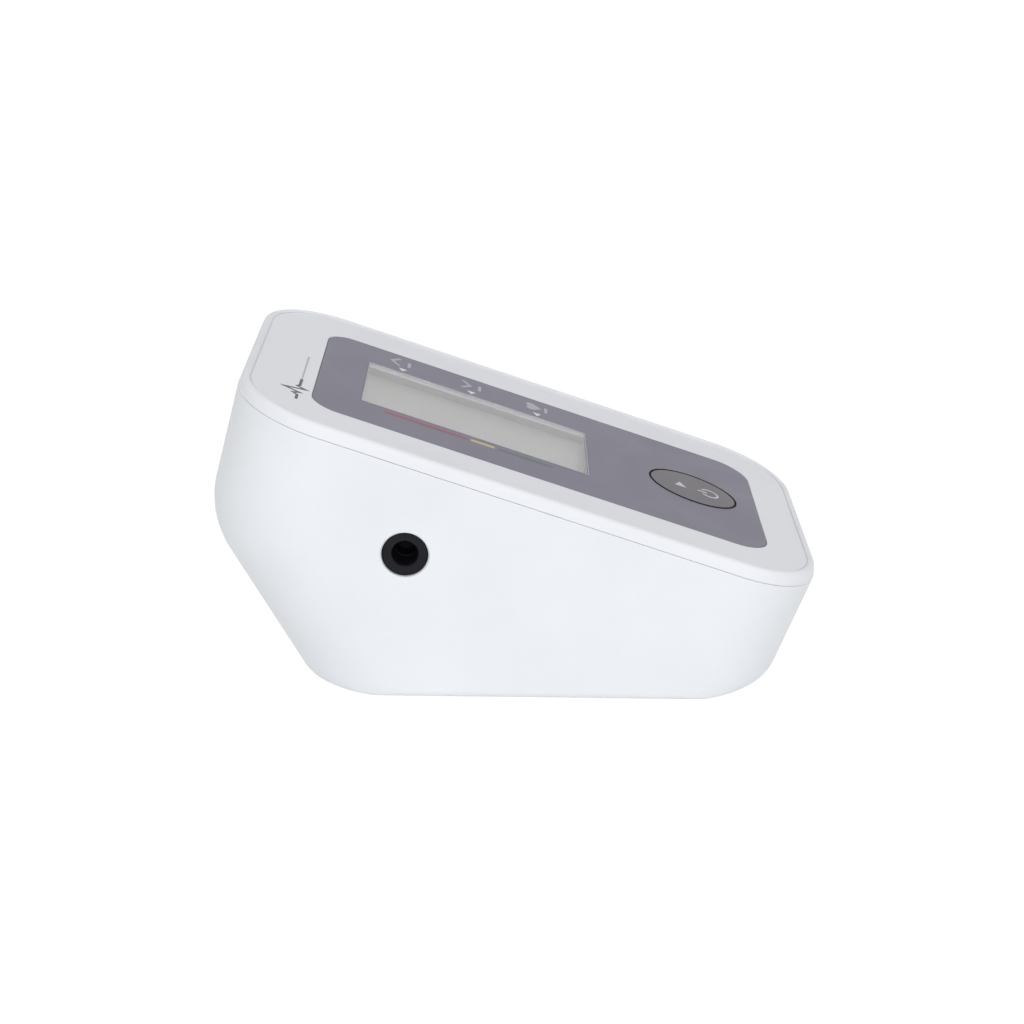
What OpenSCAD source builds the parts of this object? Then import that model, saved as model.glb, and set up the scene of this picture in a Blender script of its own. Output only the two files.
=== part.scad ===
// Desk-top upper-arm blood pressure monitor, wedge-shaped, four AA cells.
// X is the width, -Y the user's side, +Z up. The flat underside lies on Z = 0.

/* [Housing] */
// Overall width at the parting line
body_w = 74; // [70:1:89]
// Plan corner radius of the housing
plan_corner_r = 17.5; // [14:0.5:19]
// Wall of both shells
wall = 2.2; // [1.8:0.1:2.6]
// Draft of the two side walls, degrees
side_draft = 2.2; // [1:0.1:3]
// Radius along the lower side edges
side_foot_r = 2; // [1:0.5:4]

/* [Side profile] */
// Tilt of the face towards the user, degrees
face_tilt = 18.8; // [16:0.2:20]
// Height of the face above the middle of the base
face_z = 44.76; // [43:0.5:54]
// Distance from the middle to the front foot corner
foot_front = 52; // [51:0.5:63]
// Lean of the front wall, degrees
front_lean = 20.3; // [18:0.1:22]
// Distance from the middle to the centre of the rear bulge
bulge_y = 40.8; // [40:0.5:49]
// Height of the centre of the rear bulge
bulge_z = 37; // [35:0.5:40]
// Radius of the rear bulge
bulge_r = 19.8; // [16:0.5:22]
// Lean of the wall under the bulge, degrees
under_lean = 29.2; // [25:0.1:31]
// Lean of the wall above the bulge, degrees
upper_lean = 14.8; // [13:0.1:16]
// Radius of the rear foot corner
rear_foot_r = 4.2; // [3:0.2:7]
// Radius of the front foot corner
front_foot_r = 5.6; // [3:0.2:8]

/* [Face] */
// Depth of the parting line below the face
seam_depth = 1.8; // [1.6:0.1:2.4]
// Width of the shadow gap at the parting line
seam_gap = 0.3; // [0.2:0.05:0.5]
// Height of the raised lip round the face
lip_h = 0.8; // [0.4:0.1:1.2]
// Width of the lip, from the outer wall to the face
lip_w = 1.8; // [1.5:0.1:2.6]
// Radius of the lip's outer edge
lip_r = 1.1; // [0.6:0.1:1.4]
// Thickness of the cover under the face
cover_t = 2.4; // [2.2:0.1:2.8]
// Length of the grey panel along the slope
panel_l = 96.3; // [94:0.5:104]
// Width of the grey panel
panel_w = 50; // [48:0.5:60]
// Thickness of the grey panel
panel_t = 1; // [0.8:0.1:1.2]
// Centre of the grey panel along the slope, from the middle
panel_y = -5.4; // [-7:0.1:-4]
// Corner radius of the grey panel
panel_r = 6; // [4:0.5:8]

/* [Display] */
// Length of the display window along the slope
window_l = 48.8; // [44:0.2:52]
// Width of the display window
window_w = 26.5; // [24:0.5:30]
// Centre of the window along the slope
window_y = 8.85; // [7:0.1:10]
// Depth of the display glass below the face
glass_depth = 3.3; // [3.2:0.1:4]
// Thickness of the two-layer display glass
glass_t = 2.2; // [1.8:0.1:2.6]

/* [Start button] */
// Length of the oval button along the slope
button_l = 18.9; // [16:0.1:22]
// Width of the oval button
button_w = 15.7; // [14:0.1:18]
// Place of the button along the slope
button_y = -39.1; // [-41:0.1:-37]
// Height of the button above the face
button_h = 0.1; // [0:0.1:1]
// Gap round the button
button_gap = 0.3; // [0.2:0.05:0.6]
// Travel of the button
button_travel = 0.6; // [0.3:0.1:0.7]

/* [Air socket] */
// Bore for the hose plug
socket_bore = 5; // [4:0.1:6]
// Diameter of the socket's face ring
socket_d = 9.1; // [8.5:0.1:10]
// Place of the socket along the side
socket_y = 21.8; // [20:0.5:23]
// Height of the socket
socket_z = 31.4; // [30:0.1:33]

/* [Batteries] */
// Diameter of one AA cell
cell_d = 14.3; // [13.8:0.1:14.5]
// Length of one AA cell with its tip
cell_l = 50.3; // [49:0.1:50.5]
// Number of cells side by side
cell_count = 4; // [2:1:4]
// Thickness of the battery cover
door_t = 1.8; // [1.5:0.1:2]

/* [Pump] */
// Diameter of the motor can
motor_d = 23.6; // [20:0.2:24]
// Length of the motor can
motor_l = 26; // [22:1:28]
// Length of the pump head
head_l = 15; // [13:1:16]

/* [Hidden] */
$fn = 48;

shell_white = "#eef0f2";
panel_grey = "#86848c";
key_grey = "#807c7f";
socket_black = "#2d2d30";
steel = "#b8babd";
silicone = "#e6e6df";
board_green = "#2f6b45";
part_black = "#26262a";
contact_metal = "#c9c7c0";

fit = 0.2;          // general clearance between fitted plastic pieces
slip = 0.05;        // radial clearance of a running fit
rest_gap = 0.1;     // clearance of a piece that sits on another
cut = 1;            // how far a cutting solid runs past a face

// ---- the side profile: five straight walls, each a normal angle and a distance from the origin
half_w = body_w / 2;
face_h = face_z * cos(face_tilt);
TOP = 4;
front_normal = 180 + front_lean;
under_normal = 360 - under_lean;
upper_normal = 360 + upper_lean;
top_normal = 450 + face_tilt;
function dir(a) = [cos(a), sin(a)];
function reach(a, p) = dir(a) * p;
bulge_c = [bulge_y, bulge_z];
wall_normals = [front_normal, 270, under_normal, upper_normal, top_normal];
wall_reach = [reach(front_normal, [-foot_front, 0]), 0, reach(under_normal, bulge_c) + bulge_r,
    reach(upper_normal, bulge_c) + bulge_r, face_h - seam_depth - seam_gap];

// Where two walls of normals a, b and reaches ha, hb cross
function meet(a, ha, b, hb) = let (d = sin(b - a))
    [(ha * sin(b) - hb * sin(a)) / d, (hb * cos(a) - ha * cos(b)) / d];
// How far a rounded edge of radius r has drawn in at distance t from the middle, half width w
function draw_in(t, w, r) = t <= w - r ? 0 : r - sqrt(max(0, r * r - pow(t - w + r, 2)));
// Round corner of radius r between walls i and j, as n + 1 points
function corner(h, i, j, r, n)
    = let (a = wall_normals[i], b = wall_normals[j], c = meet(a, h[i] - r, b, h[j] - r))
    [for (k = [0:n]) c + r * dir(a + (b - a) * k / n)];
// One closed side outline at distance t from the middle, with the shell's inset and its raised top
function outline(t, w, inset, lift, n) =
    let (side = draw_in(t, w, plan_corner_r - inset), foot = draw_in(t, w, max(side_foot_r - inset, 1)))
    let (h = [wall_reach[0] - inset - side, wall_reach[1] - inset - foot, wall_reach[2] - inset - side,
        wall_reach[3] - inset - side, wall_reach[TOP] + lift])
    concat([meet(front_normal, h[0], top_normal, h[TOP])], corner(h, 0, 1, max(front_foot_r - inset, 1), n),
        corner(h, 1, 2, max(rear_foot_r - inset, 1), n), corner(h, 2, 3, bulge_r - inset, 2 * n),
        [meet(upper_normal, h[3], top_normal, h[TOP])]);
// Sideways scale that gives the draft: 1 at the parting line, less below it
function draft_scale(p, w) = 1 - tan(side_draft) * (face_h - seam_depth - reach(top_normal, p)) / w;
// Distances from the middle at which outlines stand, at even steps of angle round the plan corner
function stations(w, r, n) = [for (k = [0:2 * n]) w - r + r * sin(45 * k / n)];

// A housing body lofted through its side outlines
module housing_loft(inset, lift, n) {
    w = half_w - inset;
    half = stations(w, plan_corner_r - inset, n);
    spread = concat([for (k = [len(half) - 1:-1:0]) -half[k]], half);
    rings = [for (t = spread)
        [for (p = outline(abs(t), w, inset, lift, n)) [t * draft_scale(p, w), p[0], p[1]]]];
    m = len(rings[0]);
    last = len(rings) - 1;
    points = [for (r = rings) each r];
    sides = [for (k = [0:last - 1]) for (i = [0:m - 1]) let (a = k * m + i, b = k * m + (i + 1) % m)
        each [[a, a + m, b + m], [a, b + m, b]]];
    ends = [[for (i = [0:m - 1]) i], [for (i = [m - 1:-1:0]) last * m + i]];
    polyhedron(points = points, faces = concat(sides, ends), convexity = 4);
}

// ---- the face frame: local Z is square to the face, local Y runs up the slope, zero in the middle
module on_face() {
    translate([0, 0, face_z]) rotate([face_tilt, 0, 0]) children();
}
function to_local(p) = [p[0] * cos(face_tilt) + (p[1] - face_z) * sin(face_tilt),
    (p[1] - face_z) * cos(face_tilt) - p[0] * sin(face_tilt)];
function from_local(y, z) = [y * cos(face_tilt) - z * sin(face_tilt),
    face_z + y * sin(face_tilt) + z * cos(face_tilt)];
// Half width of the housing's outside at a side-view point
function side_at(y, z) = half_w * draft_scale([y, z], half_w);

cover_front = to_local(meet(front_normal, wall_reach[0], top_normal, wall_reach[TOP]))[0];
cover_rear = to_local(meet(upper_normal, wall_reach[3], top_normal, wall_reach[TOP]))[0];

// A plan rectangle with round corners, exact arcs
module round_rect(x0, x1, y0, y1, r) {
    translate([x0 + r, y0]) square([x1 - x0 - 2 * r, y1 - y0]);
    translate([x0, y0 + r]) square([x1 - x0, y1 - y0 - 2 * r]);
    for (x = [x0 + r, x1 - r], y = [y0 + r, y1 - r]) translate([x, y]) circle(r);
}
module oval(l, w) {
    polygon([for (k = [0:71]) [w / 2 * cos(5 * k), l / 2 * sin(5 * k)]]);
}
// Carries a rim section (X outward from the outer wall, Y along the face normal) round the plan
module rim(section) {
    half_l = (cover_rear - cover_front) / 2;
    r = plan_corner_r;
    translate([0, (cover_front + cover_rear) / 2, 0]) for (k = [0:3]) rotate(90 * k) {
        out = k % 2 == 0 ? half_w : half_l;
        run = (k % 2 == 0 ? half_l : half_w) - r;
        translate([out, run, 0]) rotate([90, 0, 0]) linear_extrude(2 * run) polygon(section);
        translate([out - r, run, 0]) rotate_extrude(angle = 90) translate([r, 0]) polygon(section);
    }
}
// Round bars along X and along Y, and a block between two corners
module bar_x(x0, x1, y, z, r) {
    translate([x0, y, z]) rotate([0, 90, 0]) cylinder(r = r, h = x1 - x0);
}
module bar_y(x, y0, y1, z, r) {
    translate([x, y1, z]) rotate([90, 0, 0]) cylinder(r = r, h = y1 - y0);
}
module block(lo, hi) {
    translate(lo) cube(hi - lo);
}
module post(x, y, z0, z1, r) {
    translate([x, y, z0]) cylinder(r = r, h = z1 - z0);
}

// ---- battery bay
pitch = cell_d + 0.5;
spring_l = 5;
plate_t = 0.4;
bay_w = cell_l + spring_l + 2 * plate_t + 0.3;
bay_l = cell_count * pitch;
bay_front = -37.6;
bay_rear = bay_front + bay_l;
bay_wall = 1.6;
door_lift = 0.3;
door_top = door_lift + door_t;
door_lap = 1.4;
door_w = bay_w + 2 * door_lap;
door_front = bay_front - door_lap;
door_rear = bay_rear + door_lap;
cell_z = door_top + 0.4 + cell_d / 2;
bay_top = cell_z + cell_d / 2 + 0.3;
bay_roof = bay_top + bay_wall;
step_z = 4.6;
cell_x = bay_w / 2 - plate_t - 0.05;
function cell_y(i) = bay_front + pitch * (i + 0.5);
function cell_turn(i) = i % 2 == 0 ? 1 : -1;
tab_x = 18;
tab_w = 8;
tab_out = 1.8;
tongue_w = 12;
latch_w = 8;
scoop_r = 8.6;
rib_x = 13;

// ---- case screws: the wells run along the face normal, as the mould draws
screw_x = 25.5;
screw_y = to_local([-43.5, 0])[0];
shelf = -16.5;
tower_top = -14;
screw_foot = -45;
tower_r = 4.6;
boss_r = 3.6;
screw_r = 1.25;
head_r = 2.6;
hook_x = 17;
hook_w = 8;

// ---- board and display
board_depth = 9;
board_t = 1.6;
board_w = 46;
board_front = -52;
board_rear = 39.5;
board_under = -board_depth - board_t;
glass_l = window_l + 5;
glass_top_w = window_w + 5.4;
glass_w = window_w + 10;
frame_l = glass_l + 4;
frame_w = glass_w + 4;
board_screws_at = [[19, -49], [19.5, window_y - frame_l / 2 - 4.45]];
strip_x = (glass_top_w + glass_w) / 4;
strip_w = 1.8;

// ---- air path
hose_r = 1.3;
hose_bore = 0.7;
tube_in = 1.45;
tube_out = 2.2;
grip = 4.5;
socket_face = -side_at(socket_y, socket_z) + 0.7;
socket_wall = -side_at(socket_y, socket_z) + wall;
socket_end = -26;
manifold_x0 = -18;
manifold_x1 = -3;
manifold_y = 7;
manifold_z = 29.5;
manifold_h = 3;
socket_port_x = -15;
pump_port_x = -6;
sensor_port_x = -6;
sensor_y = -22;
sensor_w = 10;
sensor_port_z = board_under - 2.6;
barb_l = 5;

// ---- pump
pump_y = 38.2;
pump_z = 29.5;
motor_x0 = -1;
motor_x1 = motor_x0 + motor_l;
head_x0 = motor_x0 - head_l;
head_r_out = motor_d / 2 + 0.2;
chamber_r = 8.6;
sleeve_r = motor_d / 2 + 1.2;
saddle_z = 24;
shaft_r = 1;
throw = 1;
clamp_x0 = motor_x0 + 10.5;
clamp_w = 6;
clamp_x = clamp_x0 + clamp_w / 2;
clamp_screw_y = pump_y - sleeve_r - 3.2;
saddle_front = clamp_screw_y - 3.9;
saddle_end = pump_y + 20;

// ---- release valve and power jack
valve_x0 = 14;
valve_x1 = 27;
valve_y = 7;
valve_z = bay_roof + rest_gap + 5.6;
jack_y = -6;
jack_z = 25;
jack_r = 5.4;
jack_out = side_at(jack_y, jack_z);

// ==== housing ====
module bead() {
    rim([[-wall + 0.2, -seam_depth - 2.2], [-1.15, -seam_depth - 2.2], [-1.15, -seam_depth],
        [-wall + 0.2, -seam_depth]]);
}
module at_screws() {
    for (sx = [-1, 1]) translate([sx * screw_x, screw_y, 0]) children();
}
// Left and right of the middle, a piece that starts at X = 0 and is w wide stands centred
module at_hooks(w) {
    for (sx = [-1, 1]) translate([sx * hook_x - w / 2, 0, 0]) children();
}
module at_tabs(w) {
    for (sx = [-1, 1]) translate([sx * tab_x - w / 2, 0, 0]) children();
}
module at_board_screws() {
    for (sx = [-1, 1], p = board_screws_at) translate([sx * p[0], p[1], 0]) children();
}
// What stands inside the base: door well, bay, screw towers, hook ledges, pump saddles, jack shelf
module base_ribs() {
    well = fit + bay_wall;
    block([-door_w / 2 - well - 1, door_front - well, -cut],
        [door_w / 2 + well + 1, door_rear + well + 1, step_z]);
    block([-bay_w / 2 - bay_wall, bay_front - bay_wall, -cut],
        [bay_w / 2 + bay_wall, bay_rear + bay_wall, bay_roof]);
    on_face() at_screws() post(0, 0, screw_foot, tower_top, tower_r);
    on_face() at_hooks(hook_w + 2) block([0, cover_rear - 3.4, -6.8], [hook_w + 2, cover_rear + 2, -5.6]);
    difference() {
        union() {
            for (x = [motor_x0 + 5.5, motor_x1 - 6.5]) block([x, saddle_front + 2.5, -cut],
                [x + 2, saddle_end, saddle_z]);
            block([clamp_x0 - 1, saddle_front, -cut], [clamp_x0 + clamp_w + 1, saddle_end, saddle_z]);
        }
        bar_x(motor_x0, motor_x1 + 10, pump_y, pump_z, sleeve_r + rest_gap);
        post(clamp_x, clamp_screw_y, saddle_z - 8, saddle_z + cut, 0.95);
    }
    block([24.5, jack_y - 3.5, bay_roof - cut], [31, jack_y + 3.5, jack_z - 4.5 - rest_gap]);
}
module bay_hollow() {
    difference() {
        block([-bay_w / 2, bay_front, -cut], [bay_w / 2, bay_rear, bay_top]);
        difference() {
            for (x = [-rib_x, rib_x]) block([x - 1, bay_front - cut, cell_z + 2],
                [x + 1, bay_rear + cut, bay_top + cut]);
            for (i = [0:cell_count - 1]) bar_x(-20, 20, cell_y(i), cell_z, cell_d / 2 + rest_gap);
        }
    }
}
module base_cuts() {
    bay_hollow();
    block([-door_w / 2 - fit, door_front - fit, -cut],
        [door_w / 2 + fit, door_rear + fit, door_top + rest_gap]);
    at_tabs(tab_w + 0.8) block([0, bay_rear - cut, door_top],
        [tab_w + 0.8, door_rear + tab_out + 0.4, door_lift + 4.2]);
    block([-latch_w / 2 - 0.3, door_front - 0.9, door_top + 0.1],
        [latch_w / 2 + 0.3, bay_front + cut, door_top + 1.6]);
    translate([0, door_front - 1.2, -7]) sphere(r = scoop_r, $fn = 64);
    on_face() at_screws() post(0, 0, screw_foot, shelf, head_r + 0.4);
    on_face() at_screws() post(0, 0, screw_foot, 0, screw_r + 0.25);
    bar_x(-half_w - cut, socket_wall + 0.6, socket_y, socket_z, socket_d / 2 + 0.15);
    bar_x(jack_out - wall - 0.6, half_w + cut, jack_y, jack_z, jack_r);
}
module base_housing() {
    color(shell_white) difference() {
        union() {
            difference() {
                housing_loft(0, 0, 5);
                difference() {
                    housing_loft(wall, 3, 4);
                    base_ribs();
                }
            }
            on_face() bead();
        }
        base_cuts();
    }
}

function arc(c, r, a0, a1, n) = [for (k = [0:n]) c + r * dir(a0 + (a1 - a0) * k / n)];
// Section of the cover's edge: outer wall, round shoulder, raised lip, hairline groove, locating rib
function cover_section() = concat([[-4, -cover_t], [-4, 0], [-lip_w - 0.2, 0], [-lip_w - 0.2, -0.2],
    [-lip_w, -0.2]], arc([-lip_w + 0.5, lip_h - 0.3], 0.3, 150, 90, 3),
    arc([-0.2 - lip_r, lip_h - lip_r], lip_r, 90, 0, 5),
    [[0, -seam_depth], [-wall - 0.5, -seam_depth], [-wall - 0.5, -5], [-wall - 1.5, -5],
        [-wall - 1.5, -cover_t]]);
module top_cover() {
    color(shell_white) on_face() difference() {
        union() {
            rim(cover_section());
            translate([0, 0, -cover_t]) linear_extrude(cover_t)
                round_rect(-half_w + 3, half_w - 3, cover_front + 3, cover_rear - 3, plan_corner_r - 3);
            at_screws() post(0, 0, tower_top + rest_gap, -cover_t, boss_r);
            at_board_screws() post(0, 0, -board_depth, -cover_t, 2.1);
            at_hooks(hook_w) block([0, cover_rear - 5.1, -8.5], [hook_w, cover_rear - 3.7, -cover_t]);
            at_hooks(hook_w) block([0, cover_rear - 5.1, -8.5], [hook_w, cover_rear - 2.8, -7]);
            translate([0, button_y, -3.4]) linear_extrude(3.4 - cover_t) difference() {
                oval(button_l + 6.4, button_w + 6.4);
                oval(button_l + 4.2, button_w + 4.2);
            }
        }
        translate([0, 0, -panel_t]) linear_extrude(panel_t + cut)
            round_rect(-panel_w / 2 - 0.1, panel_w / 2 + 0.1, panel_y - panel_l / 2 - 0.1,
                panel_y + panel_l / 2 + 0.1, panel_r + 0.1);
        block([-window_w / 2 - 0.2, window_y - window_l / 2 - 0.2, -cover_t - cut],
            [window_w / 2 + 0.2, window_y + window_l / 2 + 0.2, cut]);
        translate([0, button_y, -cover_t - cut]) linear_extrude(cover_t + 2 * cut)
            oval(button_l + 2 * button_gap, button_w + 2 * button_gap);
        at_screws() post(0, 0, tower_top - cut, -4, screw_r + slip);
        at_board_screws() post(0, 0, -board_depth - cut, -cover_t, 0.95);
    }
}
module face_panel() {
    color(panel_grey) on_face() difference() {
        translate([0, 0, -panel_t + 0.05]) linear_extrude(panel_t - 0.05)
            round_rect(-panel_w / 2, panel_w / 2, panel_y - panel_l / 2, panel_y + panel_l / 2, panel_r);
        sized_block(window_w, window_l, -panel_t - cut, cut);
        sized_block(window_w + 3, window_l + 3, -panel_t - cut, -panel_t / 2);
        translate([0, button_y, -panel_t - cut]) linear_extrude(panel_t + 2 * cut)
            oval(button_l + 2 * button_gap, button_w + 2 * button_gap);
    }
}

// ==== display ====
module sized_block(w, l, z0, z1) {
    translate([0, window_y, 0]) block([-w / 2, -l / 2, z0], [w / 2, l / 2, z1]);
}
module display_window() {
    color("#c9ced2", 0.35) on_face() {
        sized_block(window_w - 0.04, window_l - 0.04, -panel_t / 2 - 0.2, 0);
        sized_block(window_w + 2.8, window_l + 2.8, -panel_t + 0.05, -panel_t / 2 - 0.05);
    }
}
module display_gasket() {
    color("#a9a7a4") on_face() difference() {
        sized_block(window_w + 4.6, window_l + 4, -glass_depth, -cover_t);
        sized_block(window_w + 1, window_l + 1, -glass_depth - cut, -cover_t + cut);
    }
}
module display_glass() {
    color("#b4b2ad") on_face() {
        sized_block(glass_top_w, glass_l, -glass_depth - glass_t / 2, -glass_depth);
        sized_block(glass_w, glass_l, -glass_depth - glass_t, -glass_depth - glass_t / 2);
    }
}
module display_frame() {
    color(shell_white) on_face() difference() {
        sized_block(frame_w, frame_l, -board_depth, -glass_depth - 0.1);
        sized_block(glass_w + fit, glass_l + fit, -glass_depth - glass_t - rest_gap, cut);
        sized_block(glass_w - 7.4, glass_l - 4, -board_depth - cut, cut);
        for (x = [-strip_x, strip_x]) translate([x, 0, 0])
            sized_block(strip_w + fit, glass_l - 5.6, -board_depth - cut, cut);
    }
}
module contact_strips() {
    color("#e9a0a8") on_face() for (x = [-strip_x, strip_x]) translate([x, 0, 0])
        sized_block(strip_w, glass_l - 6, -board_depth, -glass_depth - glass_t);
}

// ==== start button ====
stem_end = -4.7;
plunger_foot = -6.7;
edge_r = 0.3;
// Rings of the cap: how far each is drawn in, and its height; the top edge is a quarter circle
cap_rings = concat([[0, -3]],
    [for (a = [0:22.5:90]) [edge_r * (1 - cos(a)), button_h - edge_r * (1 - sin(a))]]);
module oval_loft(l, w, rings) {
    n = 60;
    points = [for (r = rings, a = [0:360 / n:359])
        [(w / 2 - r[0]) * cos(a), (l / 2 - r[0]) * sin(a), r[1]]];
    last = len(rings) - 1;
    sides = [for (i = [0:last - 1], k = [0:n - 1]) let (a = i * n + k, b = i * n + (k + 1) % n)
        each [[a, a + n, b + n], [a, b + n, b]]];
    polyhedron(points = points, faces = concat(sides, [[for (k = [0:n - 1]) k]],
        [[for (k = [n - 1:-1:0]) last * n + k]]), convexity = 2);
}
module start_button() {
    color(key_grey) on_face() translate([0, button_y, 0]) {
        oval_loft(button_l, button_w, cap_rings);
        translate([0, 0, -3.3]) linear_extrude(0.7) oval(button_l + 2.4, button_w + 2.4);
        post(0, 0, stem_end, -3, 3);
    }
}
module tact_switch() {
    color(part_black) on_face() translate([0, button_y, 0]) difference() {
        block([-3.1, -3.1, -board_depth], [3.1, 3.1, -5.7]);
        post(0, 0, plunger_foot - button_travel - fit, 0, 1.85);
    }
}
module tact_plunger() {
    color("#55565a") on_face() translate([0, button_y, 0]) post(0, 0, plunger_foot, stem_end, 1.75);
}

// ==== board ====
module main_board() {
    color(board_green) on_face() difference() {
        block([-board_w / 2, board_front, board_under], [board_w / 2, board_rear, -board_depth]);
        at_board_screws() post(0, 0, board_under - cut, 0, 1.2);
    }
}
module processor_chip() {
    color(part_black) on_face() {
        block([-7, 3, board_under - 1.5], [7, 17, board_under]);
        for (k = [-5:5], s = [-1, 1]) {
            block([k - 0.2, 10 + s * 8 - 0.9, board_under - 0.4], [k + 0.2, 10 + s * 8 + 0.9, board_under]);
            block([s * 7.9 - 0.9, 10 + k - 0.2, board_under - 0.4],
                [s * 7.9 + 0.9, 10 + k + 0.2, board_under]);
        }
    }
}
module board_parts() {
    color("#6d6f78") on_face() {
        for (p = [[-13, -34], [-13, -42]]) post(p[0], p[1], -board_depth, -board_depth + 5.2, 2.6);
        block([-20, -20, board_under - 2.4], [-14, -13, board_under]);
        block([12, -12, board_under - 3], [20, -7, board_under]);
        for (k = [0:5]) block([-20 + 2.4 * k, 22, board_under - 0.8], [-18.6 + 2.4 * k, 25, board_under]);
        block([14, 8.4, board_under - 4], [21, 14, board_under]);
        block([14, 18, board_under - 4], [21, 23.6, board_under]);
    }
}
module buzzer() {
    color(part_black) on_face() difference() {
        post(14, -37, -board_depth, -board_depth + 4, 4.5);
        post(14, -37, -board_depth + 3, 0, 1);
    }
}
module pressure_sensor() {
    color("#d9d7cf") on_face() {
        block([sensor_port_x - sensor_w / 2, sensor_y - sensor_w / 2, board_under - 5],
            [sensor_port_x + sensor_w / 2, sensor_y + sensor_w / 2, board_under]);
        difference() {
            bar_y(sensor_port_x, sensor_y + sensor_w / 2 - 0.5, sensor_y + sensor_w / 2 + barb_l,
                sensor_port_z, hose_r);
            bar_y(sensor_port_x, sensor_y + sensor_w / 2, sensor_y + sensor_w / 2 + barb_l + 1,
                sensor_port_z, hose_bore);
        }
    }
}

// ==== air path ====
module air_socket() {
    color(socket_black) difference() {
        union() {
            bar_x(socket_face, socket_end, socket_y, socket_z, socket_d / 2);
            bar_x(socket_end, socket_end + barb_l, socket_y, socket_z, hose_r);
            bar_x(socket_wall + 2.8, socket_wall + 4.4, socket_y, socket_z, socket_d / 2 + 1.6);
        }
        bar_x(socket_face - cut, socket_end - 1.6, socket_y, socket_z, socket_bore / 2);
        translate([socket_face - 0.01, socket_y, socket_z]) rotate([0, 90, 0])
            cylinder(r1 = socket_bore / 2 + 0.5, r2 = socket_bore / 2, h = 0.8);
        bar_x(socket_face, socket_end + barb_l + cut, socket_y, socket_z, hose_bore);
    }
}
module socket_nut() {
    color(part_black) difference() {
        bar_x(socket_wall + 0.8, socket_wall + 2.6, socket_y, socket_z, socket_d / 2 + 2.4, $fn = 6);
        bar_x(socket_wall, socket_wall + 4, socket_y, socket_z, socket_d / 2 + slip);
    }
}
module air_manifold() {
    color(socket_black) difference() {
        union() {
            block([manifold_x0, manifold_y - manifold_h, manifold_z - manifold_h],
                [manifold_x1, manifold_y + manifold_h, manifold_z + manifold_h]);
            for (x = [socket_port_x, pump_port_x])
                bar_y(x, manifold_y, manifold_y + manifold_h + barb_l, manifold_z, hose_r);
            bar_y(sensor_port_x, manifold_y - manifold_h - barb_l, manifold_y, manifold_z, hose_r);
            bar_x(manifold_x1 - 1, manifold_x1 + barb_l, manifold_y, manifold_z, hose_r);
        }
        bar_x(manifold_x0 + 1.2, manifold_x1 + barb_l + cut, manifold_y, manifold_z, hose_bore);
        for (x = [socket_port_x, pump_port_x]) bar_y(x, manifold_y, manifold_y + 12, manifold_z, hose_bore);
        bar_y(sensor_port_x, manifold_y - 12, manifold_y, manifold_z, hose_bore);
    }
}
// A route that leaves nipple a along da, and meets nipple b along db, with a smooth curve between
function bend(p, n) = [for (k = [0:n]) let (t = k / n, s = 1 - t)
    s * s * s * p[0] + 3 * s * s * t * p[1] + 3 * s * t * t * p[2] + t * t * t * p[3]];
function tube_route(a, da, b, db, n) = let (p = a + grip * da, q = b + grip * db, pull = 0.42 * norm(q - p))
    concat([a], bend([p, p + pull * da, q + pull * db, q], n), [b]);
function unit(v) = v / norm(v);
function along(route, i) = unit(route[min(i + 1, len(route) - 1)] - route[max(i - 1, 0)]);
function ring(route, i, r, n, side) = let (t = along(route, i), u = unit(cross(t, side)), v = cross(t, u))
    [for (k = [0:n - 1]) route[i] + r * (cos(360 * k / n) * u + sin(360 * k / n) * v)];
// The four-sided faces between last + 1 rings of n points
function ring_quads(last, n)
    = [for (i = [0:last - 1]) for (k = [0:n - 1]) let (a = i * n + k, b = i * n + (k + 1) % n)
    [a, b, b + n, a + n]];
// A bent tube: outer skin, bore and two end rings as one closed solid
module bent_tube(route, r_out, r_in, side) {
    n = 8;
    last = len(route) - 1;
    outer = [for (i = [0:last]) each ring(route, i, r_out, n, side)];
    inner = [for (i = [0:last]) each ring(route, i, r_in, n, side)];
    m = len(outer);
    quads = ring_quads(last, n);
    skin = [for (q = quads) each [[q[0], q[1], q[2]], [q[0], q[2], q[3]]]];
    bore = [for (q = quads) each [[m + q[0], m + q[2], m + q[1]], [m + q[0], m + q[3], m + q[2]]]];
    ends = [for (k = [0:n - 1]) let (j = (k + 1) % n, e = last * n)
        each [[k, m + j, j], [k, m + k, m + j], [e + k, e + j, m + e + j], [e + k, m + e + j, m + e + k]]];
    polyhedron(points = concat(outer, inner), faces = concat(skin, bore, ends), convexity = 4);
}
up = [0, 0, 1];
module hose(a, da, b, db, side) {
    color(silicone) bent_tube(tube_route(a, da, b, db, 8), tube_out, tube_in, side);
}
module tube_socket() {
    hose([socket_end + 0.3, socket_y, socket_z], [1, 0, 0],
        [socket_port_x, manifold_y + manifold_h + 0.3, manifold_z], [0, 1, 0], up);
}
module tube_pump() {
    hose([pump_port_x, manifold_y + manifold_h + 0.3, manifold_z], [0, 1, 0],
        [pump_port_x, pump_y - head_r_out - 0.5, pump_z], [0, -1, 0], up);
}
module tube_valve() {
    hose([manifold_x1 + 0.3, manifold_y, manifold_z], [1, 0, 0],
        [valve_x0 - 0.3, valve_y, valve_z], [-1, 0, 0], [0, 1, 0]);
}
module tube_sensor() {
    port = from_local(sensor_y + sensor_w / 2 + 0.3, sensor_port_z);
    hose([sensor_port_x, manifold_y - manifold_h - 0.3, manifold_z], [0, -1, 0],
        [sensor_port_x, port[0], port[1]], [0, cos(face_tilt), sin(face_tilt)], [1, 0, 0]);
}

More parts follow.
